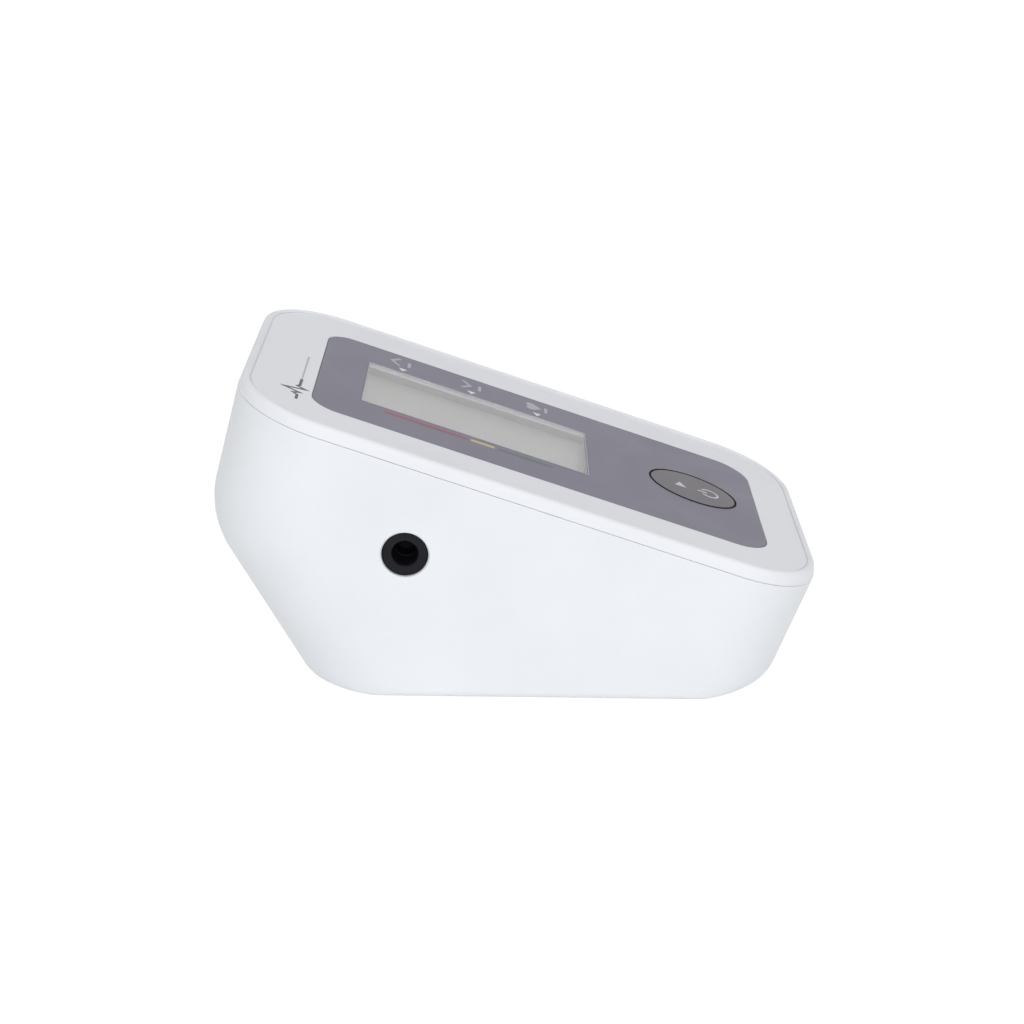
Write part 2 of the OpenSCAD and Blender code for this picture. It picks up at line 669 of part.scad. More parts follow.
// ==== pump ====
module pump_motor() {
    color(steel) difference() {
        union() {
            bar_x(motor_x0, motor_x1, pump_y, pump_z, motor_d / 2);
            bar_x(motor_x1, motor_x1 + 1.6, pump_y, pump_z, 4);
        }
        bar_x(motor_x0 - cut, motor_x0 + 8, pump_y, pump_z, shaft_r + slip);
    }
}
module pump_sleeve() {
    color(part_black) difference() {
        bar_x(motor_x0 + 3, motor_x1 - 3, pump_y, pump_z, sleeve_r);
        bar_x(motor_x0, motor_x1, pump_y, pump_z, motor_d / 2 + slip);
    }
}
module pump_head() {
    color("#3c3d42") difference() {
        union() {
            bar_x(head_x0, motor_x0, pump_y, pump_z, head_r_out);
            bar_y(pump_port_x, pump_y - head_r_out - barb_l, pump_y - chamber_r - 1, pump_z, hose_r);
        }
        bar_x(head_x0 + 3, motor_x0 + cut, pump_y, pump_z, chamber_r);
        bar_y(pump_port_x, pump_y - head_r_out - barb_l - cut, pump_y - chamber_r, pump_z, hose_bore);
    }
}
module pump_rotor() {
    color(steel) {
        bar_x(head_x0 + 8, motor_x0 + 7.6, pump_y, pump_z, shaft_r);
        bar_x(head_x0 + 8.2, motor_x0 - 2, pump_y + throw, pump_z, 4);
    }
}
module pump_diaphragm() {
    color(part_black) {
        bar_x(head_x0 + 3 + rest_gap, head_x0 + 4.4, pump_y, pump_z, chamber_r - rest_gap);
        for (a = [0, 120, 240])
            bar_x(head_x0 + 4.2, head_x0 + 7, pump_y + 4.9 * cos(a), pump_z + 4.9 * sin(a), 2.6);
    }
}
module pump_clamp() {
    color(steel) difference() {
        union() {
            bar_x(clamp_x0, clamp_x0 + clamp_w, pump_y, pump_z, sleeve_r + 1.1);
            block([clamp_x0, clamp_screw_y - 2.6, saddle_z + rest_gap],
                [clamp_x0 + clamp_w, pump_y, saddle_z + 1.2]);
        }
        bar_x(clamp_x0 - cut, clamp_x0 + clamp_w + cut, pump_y, pump_z, sleeve_r + slip);
        block([clamp_x0 - cut, pump_y - 25, pump_z - 25],
            [clamp_x0 + clamp_w + cut, pump_y + 25, saddle_z + rest_gap]);
        post(clamp_x, clamp_screw_y, 0, 40, screw_r);
    }
}

// ==== release valve, power jack ====
module valve_frame() {
    color(steel) difference() {
        union() {
            block([valve_x0, valve_y - 5, valve_z - 5.6], [valve_x1, valve_y + 5, valve_z + 5.6]);
            bar_x(valve_x0 - barb_l, valve_x0 + 1, valve_y, valve_z, hose_r);
        }
        block([valve_x0 + 1.2, valve_y - 6, valve_z - 4.4], [valve_x1 - 1.2, valve_y + 6, valve_z + 4.4]);
        bar_x(valve_x0 - barb_l - cut, valve_x0 + 2, valve_y, valve_z, hose_bore);
        bar_x(valve_x1 - 2, valve_x1 + cut, valve_y, valve_z, 1.7);
    }
}
module valve_coil() {
    color("#b5602c") difference() {
        bar_x(valve_x0 + 1.3, valve_x1 - 1.3, valve_y, valve_z, 4.2);
        bar_x(valve_x0, valve_x1, valve_y, valve_z, 1.6);
    }
}
module valve_plunger() {
    color(contact_metal) {
        bar_x(valve_x0 + 3, valve_x1 + 0.4, valve_y, valve_z, 1.55);
        bar_x(valve_x1 + 0.2, valve_x1 + 1.1, valve_y, valve_z, 2.5);
    }
}
module dc_jack() {
    back = jack_out - wall - 11;
    front = jack_out - wall - rest_gap;
    color(socket_black) difference() {
        union() {
            block([back, jack_y - 4.5, jack_z - 4.5], [front - 1, jack_y + 4.5, jack_z + 4.5]);
            bar_x(back, front + 1.2, jack_y, jack_z, 4.6);
        }
        bar_x(back + 2, half_w, jack_y, jack_z, 2.8);
    }
    color(contact_metal) bar_x(back + 1, front - 0.4, jack_y, jack_z, 1.05);
}

// ==== batteries ====
module battery_cover() {
    color(shell_white) difference() {
        union() {
            block([-door_w / 2, door_front, door_lift], [door_w / 2, door_rear, door_top]);
            at_tabs(tab_w) block([0, bay_rear - 0.8, door_top - cut], [tab_w, door_rear, door_lift + 3.2]);
            at_tabs(tab_w) block([0, door_rear - cut, door_lift + 2],
                [tab_w, door_rear + tab_out, door_lift + 3.2]);
            block([-latch_w / 2, door_front, door_top - cut],
                [latch_w / 2, door_front + 1.2, door_top + 1.2]);
            block([-latch_w / 2, door_front - 0.6, door_top + 0.3],
                [latch_w / 2, door_front + 1.2, door_top + 1.2]);
            for (i = [0:cell_count - 2]) block([-20, cell_y(i) + pitch / 2 - 0.6, door_top - cut],
                [20, cell_y(i) + pitch / 2 + 0.6, door_top + 0.5]);
        }
        for (x = [-tongue_w / 2, tongue_w / 2])
            block([x - 0.35, door_front - cut, -cut], [x + 0.35, door_front + 7, door_top + cut]);
        for (y = [1.6:1.2:6.4]) block([-4.5, door_front + y, -cut],
            [4.5, door_front + y + 0.5, door_lift + 0.4]);
    }
}
module battery_cell(i) {
    s = cell_turn(i);
    tip = s * cell_x;
    color("#c8932f") translate([tip, cell_y(i), cell_z]) rotate([0, -90 * s, 0]) rotate_extrude()
        polygon([[0, 0], [2.7, 0], [2.7, 1.4], [cell_d / 2 - 0.6, 1.4], [cell_d / 2, 2],
            [cell_d / 2, cell_l - 0.9], [cell_d / 2 - 0.6, cell_l - 0.3], [4.6, cell_l - 0.3],
            [4.6, cell_l], [0, cell_l]]);
}
module battery_cell_1() { battery_cell(0); }
module battery_cell_2() { battery_cell(1); }
module battery_cell_3() { battery_cell(2); }
module battery_cell_4() { if (cell_count > 3) battery_cell(3); }
module contact_plates() {
    color(contact_metal) for (i = [0:cell_count - 1], s = [-1, 1]) {
        x = s * (bay_w / 2 - plate_t / 2 - 0.02);
        block([x - plate_t / 2, cell_y(i) - cell_d / 2 + 1.15, cell_z - cell_d / 2 + 1.65],
            [x + plate_t / 2, cell_y(i) + cell_d / 2 - 1.15, cell_z + cell_d / 2 - 0.65]);
    }
}
// One conical contact spring as a single unbroken wire
wire_r = 0.35;
spring_turns = 3;
function spring_route(x0, x1, y, z) = [for (k = [0:8 * spring_turns])
    let (t = k / (8 * spring_turns), r = 4.6 - 2 * t)
    [x0 + (x1 - x0) * t, y + r * cos(45 * k), z + r * sin(45 * k)]];
module wire(route, r, side) {
    n = 6;
    last = len(route) - 1;
    points = [for (i = [0:last]) each ring(route, i, r, n, side)];
    quads = ring_quads(last, n);
    skin = [for (q = quads) each [[q[0], q[1], q[2]], [q[0], q[2], q[3]]]];
    ends = [[for (k = [n - 1:-1:0]) k], [for (k = [0:n - 1]) last * n + k]];
    polyhedron(points = points, faces = concat(skin, ends), convexity = 6);
}
module contact_springs() {
    color(contact_metal) for (i = [0:cell_count - 1]) {
        s = -cell_turn(i);
        wide = s * (bay_w / 2 - plate_t - wire_r - 0.06);
        narrow = s * (cell_l - cell_x + wire_r + 0.06);
        wire(spring_route(wide, narrow, cell_y(i), cell_z), wire_r, [1, 0, 0]);
    }
}

// ==== fasteners and leads ====
module screw(z0, z1, r, head, tall) {
    translate([0, 0, z0]) difference() {
        union() {
            cylinder(r = head, h = tall);
            cylinder(r = r, h = z1 - z0);
        }
        for (a = [0, 90]) rotate(a) block([-head * 0.6, -head * 0.14, -cut],
            [head * 0.6, head * 0.14, tall * 0.55]);
    }
}
module case_screws() {
    color(steel) on_face() at_screws() screw(shelf - 2, -4.6, screw_r, head_r, 1.95);
}
module board_screws() {
    color(steel) on_face() at_board_screws() screw(board_under - 1.3, -3.4, 0.9, 1.8, 1.25);
    color(steel) translate([clamp_x, clamp_screw_y, saddle_z + 2.5]) mirror([0, 0, 1])
        screw(0, 7, 0.9, 2, 1.25);
}
lead_r = 0.6;
lead_gap = 1.6;
lead_depth = board_under - 2.1;
// Where a lead ends, at a connector under the board
function lead_end(y) = concat([21.2], from_local(y, lead_depth));
motor_lead_start = [motor_x1, pump_y - 3.2, pump_z + 3.5];
motor_lead_end = lead_end(22);
motor_lead_points = [motor_lead_start, motor_lead_start + [2.5, 0, 0], motor_lead_start + [4.6, -1, 2],
    motor_lead_start + [4.4, -4, 5], motor_lead_end + [5.8, 2.4, -0.1], motor_lead_end];
battery_lead_start = [bay_w / 2 + bay_wall + 0.8, bay_rear - 8.2, step_z + 0.4];
battery_lead_end = lead_end(9.9);
battery_lead_points =
    [battery_lead_start, battery_lead_start + [0.2, 0, 7], battery_lead_start + [0, 0, 15],
    battery_lead_end + [7.8, 0, -8.2], battery_lead_end + [4.3, 0, -1.7], battery_lead_end];
module motor_leads() {
    color("#9c2b2b") for (y = [0, -lead_gap])
        wire([for (p = motor_lead_points) p + [0, y, 0]], lead_r, [0, 1, 0.1]);
}
module battery_leads() {
    color("#2b2b30") for (y = [0, -lead_gap])
        wire([for (p = battery_lead_points) p + [0, y, 0]], lead_r, [0, 1, 0.1]);
}

base_housing();
top_cover();
face_panel();
display_window();
display_gasket();
display_glass();
display_frame();
contact_strips();
start_button();
tact_switch();
tact_plunger();
main_board();
processor_chip();
board_parts();
buzzer();
pressure_sensor();
air_socket();
socket_nut();
air_manifold();
tube_socket();
tube_pump();
tube_valve();
tube_sensor();
pump_motor();
pump_sleeve();
pump_head();
pump_rotor();
pump_diaphragm();
pump_clamp();
valve_frame();
valve_coil();
valve_plunger();
dc_jack();
battery_cover();
battery_cell_1();
battery_cell_2();
battery_cell_3();
battery_cell_4();
contact_plates();
contact_springs();
case_screws();
board_screws();
motor_leads();
battery_leads();
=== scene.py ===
# %% [markdown]
# # A desk-top blood pressure monitor, cell by cell
#
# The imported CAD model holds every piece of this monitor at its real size. This script loads it as a fixed
# frame, then builds the surfaces that the eye meets: the moulded housing, the cover with its raised lip,
# the grey face panel, the clear window, the start button and the air socket. Everything else keeps its
# CAD shape and gets a finish of its own. Each step starts with a short note on what the piece is and why
# it is made this way.

# %% Load the frame
import bpy
import numpy as np
from mathutils import Matrix, Vector


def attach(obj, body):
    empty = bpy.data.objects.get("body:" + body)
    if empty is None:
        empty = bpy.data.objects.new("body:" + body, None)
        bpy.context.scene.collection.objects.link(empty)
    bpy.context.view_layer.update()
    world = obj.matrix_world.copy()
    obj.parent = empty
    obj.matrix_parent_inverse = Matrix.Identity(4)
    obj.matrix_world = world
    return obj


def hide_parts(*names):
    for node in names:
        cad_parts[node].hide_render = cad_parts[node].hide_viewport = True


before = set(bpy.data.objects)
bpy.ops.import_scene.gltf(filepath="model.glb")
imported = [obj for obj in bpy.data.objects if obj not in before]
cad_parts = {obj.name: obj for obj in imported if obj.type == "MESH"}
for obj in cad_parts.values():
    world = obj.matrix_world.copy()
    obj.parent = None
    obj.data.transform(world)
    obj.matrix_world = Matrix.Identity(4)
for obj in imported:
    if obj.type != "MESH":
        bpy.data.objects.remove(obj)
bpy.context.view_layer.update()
HOUSING = "housing"  # the body that everything fixed rides on
MM = 0.001  # sizes below are in millimetres, and meshes are in metres

# %% [markdown]
# ## The camera
#
# The photograph was taken from the left side with a long lens, a little above the monitor. The pose below
# was solved from the straight edges of the face. A camera is three directions and a place: forward, right
# and down. Blender wants them as the columns right, up and backward of one matrix.

# %% Camera
CAMERA_AT = (-0.4012, 0.00244, 0.1810)
LENS, SENSOR = 71.56, 36.0
PITCH, YAW, ROLL = np.radians([21.047, 0.212, -0.503])

forward = np.array([np.cos(YAW) * np.cos(PITCH), -np.sin(YAW) * np.cos(PITCH), -np.sin(PITCH)])
level_right = np.array([-np.sin(YAW), -np.cos(YAW), 0])
level_down = np.cross(forward, level_right)
right = np.cos(ROLL) * level_right + np.sin(ROLL) * level_down
down = -np.sin(ROLL) * level_right + np.cos(ROLL) * level_down

camera_data = bpy.data.cameras.new("photo_camera")
camera_data.lens, camera_data.sensor_width = LENS, SENSOR
camera = bpy.data.objects.new("photo_camera", camera_data)
bpy.context.scene.collection.objects.link(camera)
turned = Matrix(np.stack([right, -down, -forward], 1).tolist()).to_4x4()
camera.matrix_world = Matrix.Translation(CAMERA_AT) @ turned
bpy.context.scene.camera = camera
print("camera", round(float(np.degrees(PITCH)), 1), "degrees down, lens", LENS, "mm")

# %% [markdown]
# ## Driving sizes
#
# These repeat the sizes that drive the CAD source, because the finer surfaces have to lie where its
# pieces lie. The housing is a wedge: seen from the side it has five straight walls, each given by the
# angle of its normal and its distance from the origin. X is the width, -Y is the user's side and Z is up.

# %% Sizes in millimetres and degrees
BODY_W, PLAN_R, WALL, SIDE_DRAFT, SIDE_FOOT_R = 74.0, 17.5, 2.2, 2.2, 2.0
FACE_TILT, FACE_Z, SEAM_DEPTH, SEAM_GAP = 18.8, 44.76, 1.8, 0.3
FOOT_FRONT, FRONT_LEAN, UNDER_LEAN, UPPER_LEAN = 52.0, 20.3, 29.2, 14.8
BULGE, BULGE_R, REAR_FOOT_R, FRONT_FOOT_R = np.array([40.8, 37.0]), 19.79, 4.2, 5.6
LIP_W, COVER_T = 1.8, 2.4
PANEL_L, PANEL_W, PANEL_T, PANEL_Y = 96.3, 50.0, 1.0, -5.4
WINDOW_L, WINDOW_W, WINDOW_Y, GLASS_DEPTH = 48.8, 26.5, 8.85, 3.3
BUTTON_L, BUTTON_W, BUTTON_Y, BUTTON_H, BUTTON_GAP = 18.9, 15.7, -39.1, 0.1, 0.3
SOCKET_D, SOCKET_BORE, SOCKET_Y, SOCKET_Z = 9.1, 5.0, 21.8, 31.4
JACK_Y, JACK_Z, JACK_R, JACK_BODY_R = -6.0, 25.0, 5.4, 4.6
PANEL_AT, WINDOW_AT, BUTTON_AT = (0, PANEL_Y), (0, WINDOW_Y), (0, BUTTON_Y)
HALF_W = BODY_W / 2
CUT = 1.0  # how far a cutter reaches past the skin
SIDES = (-1, 1)  # for what stands on the left and on the right
FRONT, BOTTOM, UNDER, UPPER, TOP = range(5)
WALL_NORMALS = np.array([180 + FRONT_LEAN, 270, 360 - UNDER_LEAN, 360 + UPPER_LEAN, 450 + FACE_TILT])


def direction(degrees):
    """Unit vectors (cos a, sin a) in the side view, whose axes are Y and Z."""
    angle = np.radians(degrees)
    return np.stack([np.cos(angle), np.sin(angle)], -1)


FACE_H = FACE_Z * np.cos(np.radians(FACE_TILT))
WALL_REACH = np.array([
    direction(WALL_NORMALS[FRONT]) @ np.array([-FOOT_FRONT, 0]),
    0,
    direction(WALL_NORMALS[UNDER]) @ BULGE + BULGE_R,
    direction(WALL_NORMALS[UPPER]) @ BULGE + BULGE_R,
    FACE_H - SEAM_DEPTH - SEAM_GAP,
])
print("reach of the five walls:", np.round(WALL_REACH, 2))

# %% [markdown]
# ## One way to make a surface
#
# Almost every piece here is a stack of closed rings: a section carried along a path, or a profile turned
# round an axis. With the points of all rings in one numpy array, the quads between neighbouring rings are
# a small sum of row and column numbers, and no loop over vertices is needed. The two end rings become
# caps, or the last ring joins the first, as in a tube. The signed volume then tells whether the faces
# point outwards.

# %% Rings to mesh


def quads(rows, columns, closed):
    """Corners of the quads between rings r and r + 1: (r,c) (r,c+1) (r+1,c+1) (r+1,c)."""
    row = np.arange(rows if closed else rows - 1)[:, None]
    column = np.arange(columns)[None]
    low, high, beside = row * columns, (row + 1) % rows * columns, (column + 1) % columns
    return np.stack([low + column, low + beside, high + beside, high + column], -1).reshape(-1, 4)


def outward(mesh):
    """Turns the faces round if the signed volume, a sixth of the sum of a . (b x c), is negative."""
    mesh.calc_loop_triangles()
    corners = np.empty(len(mesh.loop_triangles) * 3, np.int64)
    mesh.loop_triangles.foreach_get("vertices", corners)
    places = np.empty(len(mesh.vertices) * 3)
    mesh.vertices.foreach_get("co", places)
    a, b, c = places.reshape(-1, 3)[corners.reshape(-1, 3)].transpose(1, 0, 2)
    volume = np.einsum("ij,ij->i", a, np.cross(b, c)).sum() / 6
    if volume < 0:
        mesh.flip_normals()
    return abs(volume)


def solid(name, rings, closed=False):
    """A closed piece from rings of shape (rows, columns, 3) in millimetres."""
    rows, columns = rings.shape[:2]
    faces = quads(rows, columns, closed).tolist()
    if not closed:
        faces += [list(range(columns))[::-1], list(range((rows - 1) * columns, rows * columns))]
    mesh = bpy.data.meshes.new(name)
    mesh.from_pydata((rings.reshape(-1, 3) * MM).tolist(), [], faces)
    mesh.update()
    outward(mesh)
    piece = bpy.data.objects.new(name, mesh)
    bpy.context.scene.collection.objects.link(piece)
    return piece


print("ring helpers ready")

# %% [markdown]
# ## Outlines and sections
#
# An outline is a pair: its points, and the outward normal at each. Moving the points along the normals
# gives the same outline, larger or smaller, so a list of (outwards, height) pairs is enough to describe a
# moulded edge, a rounded rim or a countersink all the way round.

# %% Outlines and sections


def rounded_rect(width, length, radii, steps=14):
    """Corner k: centre + r (cos a, sin a), a from 90 k to 90 k + 90 degrees; that vector is the normal."""
    turn = np.radians(np.arange(4)[:, None] * 90 + np.linspace(0, 90, steps + 1))
    out = np.stack([np.cos(turn), np.sin(turn)], -1)
    radius = np.broadcast_to(radii, 4)[:, None, None]
    quarter = np.array([[1, 1], [-1, 1], [-1, -1], [1, -1]])[:, None]
    points = quarter * (np.array([width, length]) / 2 - radius) + radius * out
    return points.reshape(-1, 2), out.reshape(-1, 2)


def oval(width, length, steps=96):
    """Ellipse (w/2 cos a, l/2 sin a); its normal points along (cos a / w, sin a / l)."""
    turn = np.linspace(0, 2 * np.pi, steps, endpoint=False)
    out = np.stack([np.cos(turn) / width, np.sin(turn) / length], -1)
    points = np.stack([width / 2 * np.cos(turn), length / 2 * np.sin(turn)], -1)
    return points, out / np.linalg.norm(out, axis=1, keepdims=True)


def spokes(steps=96):
    """An outline of no size: every point on the axis, with the normals (cos a, sin a) all round."""
    return np.zeros((steps, 2)), oval(1, 1, steps)[1]


def oblong(x0, x1, y0, y1):
    """The four corners of a rectangle, anticlockwise."""
    return [[x0, y0], [x1, y0], [x1, y1], [x0, y1]]


def arc(centre, radius, start, end, steps=6):
    """Section points: centre + radius (cos a, sin a) for a from start to end, in degrees."""
    return np.array(centre) + radius * direction(np.linspace(start, end, steps + 1))


def carried(outline, section, centre=(0, 0)):
    """Rings point + out * normal at the given height, one ring for each (out, height) of the section."""
    points, normals = outline
    section = np.asarray(section, float)
    flat = points + np.array(centre) + section[:, None, :1] * normals
    heights = np.broadcast_to(section[:, None, 1:], flat.shape[:2] + (1,))
    return np.concatenate([flat, heights], -1)


print("outline helpers ready")

# %% Places on the face and along an axis


def on_face(local):
    """Face frame to world: Y = y cos t - z sin t and Z = face_z + y sin t + z cos t, with X unchanged."""
    sine, cosine = np.sin(np.radians(FACE_TILT)), np.cos(np.radians(FACE_TILT))
    x, y, z = local[..., 0], local[..., 1], local[..., 2]
    return np.stack([x, y * cosine - z * sine, FACE_Z + y * sine + z * cosine], -1)


def face_rings(outline, section, centre=(0, 0)):
    """Carried rings, turned from the face frame to the world."""
    return on_face(carried(outline, section, centre))


def face_y(y, z):
    """Distance up the slope of a side-view point (y, z)."""
    sine, cosine = np.sin(np.radians(FACE_TILT)), np.cos(np.radians(FACE_TILT))
    return y * cosine + (z - FACE_Z) * sine


def along_x(local, y, z):
    """Local height becomes X, and local x and y become Y and Z about the given axis."""
    return np.stack([local[..., 2], y + local[..., 0], z + local[..., 1]], -1)


def block(low, high):
    """A box between two corners, as a rectangle carried upwards."""
    low, high = np.array(low, float), np.array(high, float)
    ring = np.array([[0, 0], [1, 0], [1, 1], [0, 1]]) * (high - low)[:2] + low[:2]
    heights = np.array([low[2], high[2]])[:, None, None]
    flat = np.broadcast_to(ring, (2, 4, 2))
    return np.concatenate([flat, np.broadcast_to(heights, (2, 4, 1))], -1)


def bar_x(x0, x1, y, z, radius, steps=64):
    """Rings of a round bar along X."""
    return along_x(carried(oval(2 * radius, 2 * radius, steps), [[0, x0], [0, x1]]), y, z)


def post(x, y, z0, z1, radius, steps=40):
    """Rings of a round post along local Z."""
    return carried(oval(2 * radius, 2 * radius, steps), [[0, z0], [0, z1]], (x, y))


print("the face lies", FACE_Z, "mm up and tilts", FACE_TILT, "degrees")

# %% [markdown]
# ## Cutting and joining
#
# A moulded shell is easiest to think of as solids added and taken away. Blender's Boolean modifier does
# that, and its manifold solver is quick and exact for closed meshes. The result is put back as a plain
# mesh at once, so the piece has no live modifier that a later step could disturb.

# %% Booleans and smooth shading


def combined(piece, how, rings_list, closed=False):
    """Adds to or cuts from the piece each solid of the list. how is UNION or DIFFERENCE."""
    for rings in rings_list:
        tool = solid("tool", rings, closed) if isinstance(rings, np.ndarray) else rings
        step = piece.modifiers.new("step", "BOOLEAN")
        step.operation, step.solver, step.object = how, "MANIFOLD", tool
        graph = bpy.context.evaluated_depsgraph_get()
        made = bpy.data.meshes.new_from_object(piece.evaluated_get(graph), depsgraph=graph)
        piece.modifiers.clear()
        old = piece.data
        piece.data = made
        bpy.data.meshes.remove(old)
        bpy.data.meshes.remove(tool.data)
    return piece


def smoothed(piece, angle=28):
    """Smooth shading, sharp where faces meet at more than the angle; large faces keep their normal."""
    piece.data.shade_smooth()
    piece.data.set_sharp_from_angle(angle=np.radians(angle))
    piece.modifiers.new("face_weight", "WEIGHTED_NORMAL").keep_sharp = True
    volume = outward(piece.data) / MM**3
    print(f"{piece.name}: {len(piece.data.vertices)} points, {volume:.0f} mm3")
    return piece


def placed(piece, body, slot, *nodes):
    """The piece rides on its body and stands for the CAD nodes given; slot is not used."""
    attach(piece, body)
    if nodes:
        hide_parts(*nodes)
    return piece


def finished(name, rings, body, slot, *nodes, closed=False):
    """A piece that needs no cutting: made from its rings, smoothed and placed."""
    return placed(smoothed(solid(name, rings, closed)), body, slot, *nodes)


print("joining, smoothing and placing helpers ready")

# %% [markdown]
# ## The housing's loft
#
# The wedge is one family of side outlines, from the middle to each side wall. Every outline has the same
# five walls; towards the side they draw in along a quarter circle, which rounds the corners in plan, and
# the bottom draws in along a smaller one. Draft then makes the housing narrower the further a point lies
# below the parting line. The same function, set in by the wall, gives the room inside.

# %% Housing rings


def crossing(a, reach_a, b, reach_b):
    """Where n(a).p = ha and n(b).p = hb meet: (ha sin b - hb sin a, hb cos a - ha cos b) / sin(b - a)."""
    a, b = np.radians(a), np.radians(b)
    meeting = [reach_a * np.sin(b) - reach_b * np.sin(a), reach_b * np.cos(a) - reach_a * np.cos(b)]
    return np.stack(meeting, -1) / np.sin(b - a)


def round_corner(reach, i, j, radius, steps):
    """For every station, the arc of that radius that touches walls i and j."""
    a, b = WALL_NORMALS[i], WALL_NORMALS[j]
    centre = crossing(a, reach[:, i] - radius, b, reach[:, j] - radius)
    return centre[:, None] + radius * direction(np.linspace(a, b, steps + 1))


def drawn_in(t, half, radius):
    """r - sqrt(r^2 - s^2), where s is how far t lies past half - r."""
    past = np.clip(t - half + radius, 0, radius)
    return radius - np.sqrt(radius**2 - past**2)


def housing_rings(inset, lift, steps):
    """Side outlines at stations half - r + r sin(angle) to both sides, narrowed by the draft."""
    half, plan_r, foot_r = HALF_W - inset, PLAN_R - inset, max(SIDE_FOOT_R - inset, 1)
    stations = half - plan_r + plan_r * np.sin(np.radians(np.linspace(0, 90, steps + 1)))
    t = np.concatenate([-stations[::-1], stations])
    side, low = drawn_in(abs(t), half, plan_r), drawn_in(abs(t), half, foot_r)
    reach = WALL_REACH - inset - np.stack([side, low, side, side, 0 * side], -1)
    reach[:, TOP] = WALL_REACH[TOP] + lift
    ends = [crossing(WALL_NORMALS[i], reach[:, i], WALL_NORMALS[TOP], reach[:, TOP])[:, None]
            for i in (FRONT, UPPER)]
    outline = np.concatenate([
        ends[0],
        round_corner(reach, FRONT, BOTTOM, max(FRONT_FOOT_R - inset, 1), steps // 2),
        round_corner(reach, BOTTOM, UNDER, max(REAR_FOOT_R - inset, 1), steps // 2),
        round_corner(reach, UNDER, UPPER, BULGE_R - inset, steps),
        ends[1],
    ], 1)
    below = FACE_H - SEAM_DEPTH - outline @ direction(WALL_NORMALS[TOP])
    x = t[:, None] * (1 - np.tan(np.radians(SIDE_DRAFT)) * below / half)
    return np.concatenate([x[..., None], outline], -1)


def side_at(y, z):
    """Half width of the outside at a side-view point."""
    below = FACE_H - SEAM_DEPTH - direction(WALL_NORMALS[TOP]) @ np.array([y, z])
    return HALF_W * (1 - np.tan(np.radians(SIDE_DRAFT)) * below / HALF_W)


COVER_FRONT, COVER_REAR = [
    face_y(*crossing(WALL_NORMALS[i], WALL_REACH[i], WALL_NORMALS[TOP], WALL_REACH[TOP]))
    for i in (FRONT, UPPER)
]
COVER_MID = (0, (COVER_FRONT + COVER_REAR) / 2)
PLAN = rounded_rect(BODY_W, COVER_REAR - COVER_FRONT, PLAN_R, 32)
print("cover runs from", round(float(COVER_FRONT), 2), "to", round(float(COVER_REAR), 2), "along the slope")

# %% [markdown]
# ## The base housing
#
# The lower shell is the outside loft less the room inside it. The room itself leaves out what stands in
# it: the battery bay, two screw towers, the hook ledges, a shelf under the power jack and the pump's
# saddles.

# %% Battery bay sizes
CELL_D, CELL_L, CELLS = 14.3, 50.3, 4
PITCH_Y = CELL_D + 0.5
BAY_W, BAY_FRONT, BAY_WALL = CELL_L + 6.1, -37.6, 1.6
BAY_REAR = BAY_FRONT + CELLS * PITCH_Y
DOOR_LIFT, DOOR_TOP, DOOR_LAP, FIT = 0.3, 2.1, 1.4, 0.2
DOOR_W, DOOR_FRONT, DOOR_REAR = BAY_W + 2 * DOOR_LAP, BAY_FRONT - DOOR_LAP, BAY_REAR + DOOR_LAP
CELL_Z = DOOR_TOP + 0.4 + CELL_D / 2
BAY_TOP = CELL_Z + CELL_D / 2 + 0.3
CELL_YS = BAY_FRONT + PITCH_Y * (np.arange(CELLS) + 0.5)
TAB_X, TAB_W, TAB_OUT, LATCH_W, TONGUE_W = 18.0, 8.0, 1.8, 8.0, 12.0
DOOR_WELL_TOP, WELL_ROOF = 2.2, 4.6
SCREW_X, SCREW_Y, HOOK_X, HOOK_W = 25.5, face_y(-43.5, 0), 17.0, 8.0
PUMP_Y, PUMP_Z, SLEEVE_R = 38.2, 29.5, 13.0
WELL = FIT + BAY_WALL
print("battery bay", round(BAY_W, 1), "x", round(BAY_REAR - BAY_FRONT, 1), "mm")

# %% What stands inside the base
TOWER_FOOT, TOWER_TOP, TOWER_R = -45, -14, 4.6
SADDLE_REAR, SADDLE_TOP, SADDLE_XS = 58.2, 24, (4.5, 18.5)
bay_box = block([-BAY_W / 2 - BAY_WALL, BAY_FRONT - BAY_WALL, -CUT],
                [BAY_W / 2 + BAY_WALL, BAY_REAR + BAY_WALL, BAY_TOP + BAY_WALL])
well_box = block([-DOOR_W / 2 - WELL - 1, DOOR_FRONT - WELL, -CUT],
                 [DOOR_W / 2 + WELL + 1, DOOR_REAR + WELL + 1, WELL_ROOF])
towers = [on_face(post(s * SCREW_X, SCREW_Y, TOWER_FOOT, TOWER_TOP, TOWER_R)) for s in SIDES]
jack_shelf = block([24.5, JACK_Y - 3.5, BAY_TOP], [31, JACK_Y + 3.5, JACK_Z - JACK_BODY_R])
ledges = [
    on_face(block([s * HOOK_X - HOOK_W / 2 - 1, COVER_REAR - 3.4, -6.8],
                  [s * HOOK_X + HOOK_W / 2 + 1, COVER_REAR + 2, -5.6]))
    for s in SIDES
]
saddles = solid("saddles", block([8.5, BAY_REAR - 3.5, -CUT], [16.5, SADDLE_REAR, SADDLE_TOP]))
cradles = [block([x, BAY_REAR - 1, -CUT], [x + 2, SADDLE_REAR, SADDLE_TOP]) for x in SADDLE_XS]
combined(saddles, "UNION", cradles)
combined(saddles, "DIFFERENCE", [
    bar_x(0, 40, PUMP_Y, PUMP_Z, SLEEVE_R + 0.1),
    post(12.5, PUMP_Y - SLEEVE_R - 3.2, 16, 25, 0.95),
])

